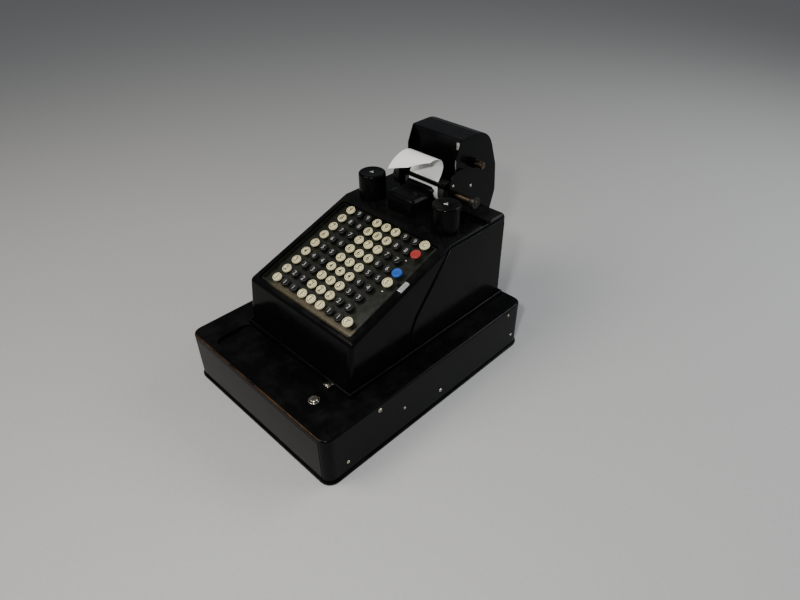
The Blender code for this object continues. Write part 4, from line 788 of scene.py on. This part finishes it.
# Small nickelled screws hold the green plate from above, and a red-filled dot marks the tab's stroke.
plate_screw = screw_model("plate_screw", 1.7)
SEATED = 0.05 * MM
marks_z = pan_floor_low.z + PAN_SHEET - SEATED
marks = []
for x_share, v_share, turn in ((0.855, 0.782, 20), (0.898, 0.459, 70)):
    spot = Matrix.Translation(
        (pan_floor_low.x + pan_size.x * x_share, pan_floor_low.y + pan_size.y * v_share, marks_z)
    ) @ Matrix.Rotation(math.radians(turn), 4, "Z")
    marks.append(placed_copy(plate_screw, "plate_screw_copy", spot))
bpy.data.objects.remove(plate_screw, do_unlink=True)
dot = turned_shape(
    "red_dot", [(2.4 * MM, 0), (2.4 * MM, 0.2 * MM), (2.0 * MM, 0.45 * MM), (0, 0.5 * MM)], red_plastic, 24,
)
dot.data.transform(
    Matrix.Translation((pan_floor_high.x - 5 * MM, pan_floor_low.y + pan_size.y * 0.71, marks_z))
)
marks.append(dot)
marks = joined("plate_screws", marks)
marks.data.transform(KEYBOARD)
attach(marks, "machine")

# ---------------------------------------------------------------- ribbon covers and spools
# Deep-drawn round steel cans, enamelled black, stand over the two ribbon spools. Each is turned to
# open by the bright V-shaped clip on its top. The spools inside are dark pressed steel.

SMOOTH_SIDES = 72
COVER_SHEET = 1.4 * MM
for side in ("left", "right"):
    low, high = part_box(f"ribbon_cover_{side}")
    centre = ((low.x + high.x) / 2, (low.y + high.y) / 2, low.z)
    r = (high.x - low.x) / 2
    tall = high.z - low.z
    inner = r - COVER_SHEET
    can = turned_shape(
        f"ribbon_can_{side}",
        [
            (0.4 * MM, tall - COVER_SHEET), (inner - 1.5 * MM, tall - COVER_SHEET), (inner, tall - 3 * MM),
            (inner, 0), (r, 0), (r, tall - 3.6 * MM), (r, tall - 3.0 * MM), (r - 0.25 * MM, tall - 2.0 * MM),
            (r - 0.9 * MM, tall - 0.9 * MM), (r - 2.0 * MM, tall - 0.25 * MM), (r - 3.4 * MM, tall),
            (r - 5.0 * MM, tall), (r - 5.6 * MM, tall - 0.5 * MM), (r - 6.2 * MM, tall - 0.6 * MM),
            (0, tall - 0.5 * MM),
        ],
        black_enamel, SMOOTH_SIDES,
    )
    can.data.transform(Matrix.Translation(centre))
    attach(can, "machine")
    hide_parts(f"ribbon_cover_{side}")
    clip = turned_shape(
        f"ribbon_clip_{side}",
        [
            (4.4 * MM, 0), (4.4 * MM, 0.25 * MM), (3.4 * MM, 0.55 * MM), (1.5 * MM, 0.6 * MM),
            (0, 0.35 * MM),
        ],
        white_metal, 3,
    )
    only(clip)
    bpy.ops.object.mode_set(mode="EDIT")
    bpy.ops.mesh.select_all(action="SELECT")
    bpy.ops.mesh.bevel(offset=0.15 * MM, segments=2, affect="EDGES")
    bpy.ops.object.mode_set(mode="OBJECT")
    clip.data.transform(
        Matrix.Translation((centre[0], centre[1], centre[2] + tall - 0.55 * MM))
        @ Matrix.Rotation(math.radians(130), 4, "Z")
    )
    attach(clip, "machine")

    low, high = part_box(f"ribbon_spool_{side}")
    centre = ((low.x + high.x) / 2, (low.y + high.y) / 2, low.z)
    r = (high.x - low.x) / 2
    tall = high.z - low.z
    core = r * 0.62
    reel = turned_shape(
        f"ribbon_reel_{side}",
        [
            (1 * MM, 0), (r, 0), (r, 0.7 * MM), (r - 0.3 * MM, 1 * MM), (core, 1 * MM), (core * 1.03, tall / 2),
            (core, tall - 1 * MM), (r - 0.3 * MM, tall - 1 * MM), (r, tall - 0.7 * MM), (r, tall), (0, tall),
        ],
        tray_paint, SMOOTH_SIDES,
    )
    reel.data.transform(Matrix.Translation(centre))
    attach(reel, f"ribbon_spool_{side}")
    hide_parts(f"ribbon_spool_{side}")

# ---------------------------------------------------------------- type guard, ears and bar
# The guard over the type is one pressed steel cover. Two flat steel ears screwed to the hood carry the
# platen's shaft, and the tear bar swings between them; all are enamelled black.
fine_copy("type_guard", black_enamel, "machine", 0.4)
for side in ("left", "right"):
    fine_copy(f"platen_ear_{side}", black_enamel, "machine", 0.5)
fine_copy("tear_bar", black_enamel, "tear_bar", 0.4)
ear_low, ear_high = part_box("platen_ear_right")
left_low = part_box("platen_ear_left")[0]
ear_screws = []
ear_screw = screw_model("ear_screw", 2.4)
for side, face in ((1, ear_high.x), (-1, left_low.x)):
    for from_front, from_top in ((6.5, 20), (8, 48)):
        slot_turn = Matrix.Rotation(math.radians(from_top), 4, "Z")
        turn = Matrix.Rotation(math.radians(90 * side), 4, "Y") @ slot_turn
        spot = Matrix.Translation(
            (face - side * SEATED, ear_low.y + from_front * MM, ear_high.z - from_top * MM)
        )
        ear_screws.append(placed_copy(ear_screw, "ear_screw", spot @ turn))
hood_low, hood_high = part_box("hood_shell")
for side, face in ((1, hood_high.x), (-1, hood_low.x)):
    turn = Matrix.Rotation(math.radians(90 * side), 4, "Y") @ Matrix.Rotation(0.5, 4, "Z")
    spot = Matrix.Translation((face - side * SEATED, ear_low.y + 51 * MM, ear_high.z - 36 * MM))
    ear_screws.append(placed_copy(ear_screw, "ear_screw", spot @ turn))
bpy.data.objects.remove(ear_screw, do_unlink=True)
ear_screws = joined("ear_screws", ear_screws)
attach(ear_screws, "machine")

# The saw-edged strip of thin steel behind the bar, against which the tape is torn.
bar_low, bar_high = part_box("tear_bar")
TEETH = 44
STRIP_WIDTH = 60 * MM
platen_low, platen_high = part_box("platen_roller")
strip_x = (platen_low.x + platen_high.x) / 2
bpy.ops.object.select_all(action="DESELECT")
bpy.ops.mesh.primitive_grid_add(x_subdivisions=2 * TEETH, y_subdivisions=2, size=1.0, location=(0, 0, 0))
strip = bpy.context.object
strip.name = "tear_strip"
strip.data.name = "tear_strip"
strip_height = 3.4 * MM
for v in strip.data.vertices:
    share = v.co.x + 0.5
    tooth = round(share * 2 * TEETH) % 2
    top = v.co.y > 0.1
    v.co = (v.co.x * STRIP_WIDTH, 0, v.co.y * strip_height + (0.7 * MM if top and tooth else 0))
solid = strip.modifiers.new("sheet", "SOLIDIFY")
solid.thickness = 0.3 * MM
apply_modifiers(strip)
strip.data.transform(Matrix.Translation((strip_x, bar_low.y - 0.1 * MM, bar_high.z - 1.4 * MM)))
strip.data.materials.append(black_enamel)
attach(strip, "tear_bar")

# The paper guide: a thin enamelled lip that rises from the guard's rear edge to just under the bar.
guard_low, guard_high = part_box("type_guard")
GUIDE_BACK = 3.6 * MM
GUIDE_RISE = 6.4 * MM
bpy.ops.object.select_all(action="DESELECT")
bpy.ops.mesh.primitive_grid_add(x_subdivisions=24, y_subdivisions=8, size=1.0, location=(0, 0, 0))
guide = bpy.context.object
guide.name = "paper_guide"
guide.data.name = "paper_guide"
for v in guide.data.vertices:
    across_share = v.co.x
    up_share = v.co.y + 0.5
    sag = 1 - max(0.0, abs(across_share) - 0.42) / 0.08
    v.co = (
        across_share * (guard_high.x - guard_low.x - 2 * MM),
        GUIDE_BACK * math.sin(up_share * math.pi / 2) - 3 * MM,
        GUIDE_RISE * up_share ** 1.2 * (0.35 + 0.65 * sag) - 0.6 * MM,
    )
solid = guide.modifiers.new("sheet", "SOLIDIFY")
solid.thickness = 0.8 * MM
apply_modifiers(guide)
bpy.ops.object.shade_smooth_by_angle(angle=math.radians(40))
guide.data.transform(Matrix.Translation(((guard_low.x + guard_high.x) / 2, guard_high.y, guard_high.z)))
guide.data.materials.append(black_enamel)
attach(guide, "machine")

# ---------------------------------------------------------------- platen
# A roll of hard black rubber on a brass shaft, with a knurled black knob at the left and a dark ring
# on the shaft's right end. Both turn with it in the ears.

# Hard platen rubber: dull charcoal, ground smooth, a little greyer in patches.
platen_rubber, tree = new_material("hard_platen_rubber")
close_material(
    tree, mixed(tree, noise(tree, 8.0, 4.0), "#151514", "#23221f"),
    span(tree, noise(tree, 2.0, 3.0), 0.3, 0.7, 0.5, 0.68),
    bumped(tree, noise(tree, 0.9, 2.0), 0.02, 0.4),
)
# Aged brass: tarnished grey-brown, darker and rougher in patches.
aged_brass, tree = new_material("aged_brass_rod")
tarnish = span(tree, noise(tree, 6.0, 5.0, 0.65), 0.35, 0.65)
close_material(
    tree, mixed(tree, tarnish, "#5f5244", "#3a322b"), span(tree, tarnish, 0, 1, 0.25, 0.48),
    settings={"Metallic": 1.0},
)
TO_X = Matrix.Rotation(math.radians(90), 4, "Y")
axis_y = (platen_low.y + platen_high.y) / 2
axis_z = (platen_low.z + platen_high.z) / 2
platen_r = (platen_high.z - platen_low.z) / 2
platen_wide = platen_high.x - platen_low.x
HUB_R = 4.2 * MM
roller = turned_shape(
    "rubber_roller",
    [
        (HUB_R, 0), (platen_r - 0.5 * MM, 0), (platen_r, 0.5 * MM), (platen_r, platen_wide - 0.5 * MM),
        (platen_r - 0.5 * MM, platen_wide), (HUB_R, platen_wide), (HUB_R, platen_wide - 1 * MM),
        (0, platen_wide - 1 * MM),
    ],
    platen_rubber, SMOOTH_SIDES,
)
roller.data.transform(Matrix.Translation((platen_low.x, axis_y, axis_z)) @ TO_X)
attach(roller, "platen")
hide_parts("platen_roller")

shaft_low, shaft_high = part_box("platen_shaft")
SHAFT_R = 4 * MM
RING_R = 9 * MM
RING_WIDE = 8 * MM
knob_r = (shaft_high.z - shaft_low.z) / 2
KNOB_WIDE = 12 * MM
long = shaft_high.x - shaft_low.x
SLEEVE_R = 5.4 * MM
sleeve_from = ear_high.x + 1 * MM - shaft_low.x
shaft = turned_shape(
    "platen_rod",
    [
        (SHAFT_R, KNOB_WIDE - 1 * MM), (SHAFT_R, sleeve_from), (SLEEVE_R - 0.4 * MM, sleeve_from),
        (SLEEVE_R, sleeve_from + 0.4 * MM), (SLEEVE_R, long - RING_WIDE + 1 * MM),
        (SHAFT_R, long - RING_WIDE + 1 * MM), (SHAFT_R, long - 0.8 * MM), (SHAFT_R - 0.8 * MM, long),
        (0, long),
    ],
    aged_brass, 32,
)
shaft.data.transform(Matrix.Translation((shaft_low.x, axis_y, axis_z)) @ TO_X)
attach(shaft, "platen")
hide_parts("platen_shaft")


def knurled(name, rings, finish, sides, depth):
    """A turned piece whose broad outer faces are cut with straight flutes."""
    made = turned_shape(name, rings, finish, sides)
    widest = max(ring[0] for ring in rings)
    for v in made.data.vertices:
        flat = Vector(v.co[:2])
        if flat.length > widest * 0.985:
            turn = math.atan2(v.co.y, v.co.x)
            if round(turn / (2 * math.pi) * sides) % 2:
                v.co.x *= 1 - depth / widest
                v.co.y *= 1 - depth / widest
    return made


knob = knurled(
    "platen_knob",
    [
        (0.2 * MM, 0.8 * MM), (knob_r * 0.5, 0.9 * MM), (knob_r * 0.62, 0), (knob_r - 2 * MM, 0),
        (knob_r - 0.6 * MM, 0.6 * MM), (knob_r, 2 * MM), (knob_r, KNOB_WIDE - 1 * MM),
        (knob_r - 1 * MM, KNOB_WIDE), (0, KNOB_WIDE),
    ],
    black_plastic, 96, 0.5 * MM,
)
knob.data.transform(Matrix.Translation((shaft_low.x, axis_y, axis_z)) @ TO_X)
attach(knob, "platen")
ring = knurled(
    "platen_ring",
    [
        (SHAFT_R - 0.1 * MM, 0.6 * MM), (RING_R - 2 * MM, 0), (RING_R - 0.5 * MM, 0.3 * MM), (RING_R, 1 * MM),
        (RING_R, RING_WIDE - 1 * MM), (RING_R - 0.5 * MM, RING_WIDE - 0.3 * MM), (RING_R - 2 * MM, RING_WIDE),
        (RING_R * 0.6, RING_WIDE - 0.8 * MM), (0, RING_WIDE - 0.8 * MM),
    ],
    black_plastic, 64, 0.35 * MM,
)
ring.data.transform(Matrix.Translation((shaft_high.x - RING_WIDE, axis_y, axis_z)) @ TO_X)
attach(ring, "platen")

# ---------------------------------------------------------------- release lever
# A forged steel lever, enamelled black, on a hub screwed to the deck. Swung either way, it frees the
# platen from the paper.
fine_copy("release_lever", black_enamel, "release_lever", 0.8, segments=3)

# ---------------------------------------------------------------- hood
# The hood over the paper roll is welded steel sheet with a hinged lid above and a plate let into its
# right cheek; a small bright catch on the cheek holds the lid down. A bright nickel rod on the right
# cheek's front edge is a painted highlight, for the glint of light along that edge.
fine_copy("hood_shell", black_enamel, "machine", 0.4)
fine_copy("hood_panel", black_enamel, "machine", 0.4)
fine_copy("hood_lid", black_enamel, "hood_lid", 0.5)

hood_low, hood_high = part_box("hood_shell")
lid_low, lid_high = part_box("hood_lid")
catch_plate = block(
    "catch_plate", (hood_high.x - 8.5 * MM, lid_low.y - 1.6 * MM, lid_high.z - 16.5 * MM),
    (hood_high.x - 3.0 * MM, lid_low.y + 0.4 * MM, lid_high.z - 5.6 * MM), white_metal, 0.7,
)
catch_screw = screw_model("catch_screw", 1.5)
catch_screw.data.transform(
    Matrix.Translation((hood_high.x - 5.7 * MM, lid_low.y - 1.55 * MM, lid_high.z - 10.5 * MM))
    @ Matrix.Rotation(math.radians(90), 4, "X")
)
# Painted highlight: a bright nickel rod along the right cheek's front edge, standing for the glint of light on
# that sheet edge.
cheek_glint_rod = turned_shape(
    "cheek_glint_rod",
    [(0.7 * MM, 0), (0.9 * MM, 0.3 * MM), (0.9 * MM, 17 * MM), (0.7 * MM, 17.4 * MM), (0, 17.4 * MM)],
    nickel, 20,
)
cheek_glint_rod.data.transform(
    Matrix.Translation((hood_high.x - 0.9 * MM, hood_low.y + 0.1 * MM, lid_high.z - 45 * MM))
)
catch_and_edge_glint = joined("hood_catch_and_edge_glint", [catch_plate, catch_screw, cheek_glint_rod])
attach(catch_and_edge_glint, "machine")

# ---------------------------------------------------------------- paper tape and roll
# A white tape runs from the roll round the platen, up behind the bar, and curls over to the front. Its
# end was torn across the bar in two slants, so the left corner hangs lowest.

# Uncoated listing paper: bright matt white, its fibres barely raised.
listing_paper, tree = new_material("uncoated_listing_paper")
fibre = noise(tree, 0.7, 6.0, 0.7)
close_material(
    tree, mixed(tree, noise(tree, 12.0, 3.0), "#fbfaf7", "#f1f0ec"), 0.72, bumped(tree, fibre, 0.015, 0.5),
)
tape = fine_copy("paper_tape", listing_paper, "machine", 0)
tape_low, tape_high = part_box("paper_tape")
tape_wide = tape_high.x - tape_low.x
only(tape)
bpy.ops.object.mode_set(mode="EDIT")
bpy.ops.mesh.select_all(action="SELECT")
for along_share, back, slant in ((0.0, 0.8 * MM, 16 * MM), (0.52, 8 * MM, 42 * MM)):
    torn_edge = Vector((tape_wide, slant, 0)).normalized()
    bpy.ops.mesh.select_all(action="SELECT")
    bpy.ops.mesh.bisect(
        plane_co=(tape_low.x + tape_wide * along_share, tape_low.y + back, tape_high.z),
        plane_no=(-torn_edge.y, torn_edge.x, 0), use_fill=True, clear_inner=True,
    )
bpy.ops.mesh.select_all(action="SELECT")
bpy.ops.mesh.normals_make_consistent(inside=False)
bpy.ops.object.mode_set(mode="OBJECT")
roll_low, roll_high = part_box("supply_roll")
roll_r = (roll_high.z - roll_low.z) / 2
roll_wide = roll_high.x - roll_low.x
CORE_R = 6 * MM
WINDINGS = 12
rings = [(CORE_R, 0)]
for turn in range(1, WINDINGS):
    radius = CORE_R + (roll_r - CORE_R) * turn / WINDINGS
    rings += [(radius, 0), (radius + 0.3 * MM, 0.25 * MM if turn % 2 else 0.0)]
rings += [(roll_r, 0), (roll_r, roll_wide)]
for turn in range(WINDINGS - 1, 0, -1):
    radius = CORE_R + (roll_r - CORE_R) * turn / WINDINGS
    rings += [(radius + 0.3 * MM, roll_wide - (0.25 * MM if turn % 2 else 0.0)), (radius, roll_wide)]
rings += [(0, roll_wide - 0.4 * MM)]
roll = turned_shape("paper_roll", rings, listing_paper, SMOOTH_SIDES)
roll_y = (roll_low.y + roll_high.y) / 2
roll_z = (roll_low.z + roll_high.z) / 2
roll.data.transform(Matrix.Translation((roll_low.x, roll_y, roll_z)) @ TO_X)
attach(roll, "paper_supply")
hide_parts("supply_roll")
pin_low, pin_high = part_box("roll_spindle")
pin_r = (pin_high.z - pin_low.z) / 2
pin_long = pin_high.x - pin_low.x
spindle = turned_shape(
    "roll_pin",
    [
        (pin_r - 0.6 * MM, 0), (pin_r, 0.6 * MM), (pin_r, pin_long - 6 * MM),
        (pin_r - 0.5 * MM, pin_long - 5.6 * MM), (pin_r - 0.5 * MM, pin_long - 4.4 * MM),
        (pin_r, pin_long - 4 * MM), (pin_r, pin_long - 0.9 * MM), (pin_r - 0.9 * MM, pin_long), (0, pin_long),
    ],
    aged_brass, 32,
)
pin_y = (pin_low.y + pin_high.y) / 2
pin_z = (pin_low.z + pin_high.z) / 2
spindle.data.transform(Matrix.Translation((pin_low.x, pin_y, pin_z)) @ TO_X)
collar = turned_shape(
    "roll_pin_collar",
    [
        (pin_r - 0.2 * MM, 0), (pin_r + 1.6 * MM, 0), (pin_r + 2.0 * MM, 0.4 * MM),
        (pin_r + 2.0 * MM, 7.4 * MM), (pin_r + 1.4 * MM, 8 * MM), (0, 8 * MM),
    ],
    black_enamel, 32,
)
collar.data.transform(Matrix.Translation((hood_high.x + 0.3 * MM, pin_y, pin_z)) @ TO_X)
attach(collar, "paper_supply")
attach(spindle, "paper_supply")
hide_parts("roll_spindle")

# ---------------------------------------------------------------- works inside the case
# Punched steel side frames carry the key guide, the turned main shaft with its cams, the register
# wheels and the type bars with their comb. The motor at the end of the shaft is painted grey.
for node_name in ("side_frame_left", "side_frame_right", "key_guide_plate", "type_comb"):
    fine_copy(node_name, bare_steel, "machine", 0.25)
fine_copy("drive_motor", tray_paint, "machine", 0.6)
fine_copy("main_shaft", bare_steel, "main_shaft", 0.3)
fine_copy("register", bare_steel, "register", 0.2)
for column in range(1, 9):
    fine_copy(f"type_bar_{column}", bare_steel, f"type_bar_{column}", 0.15)
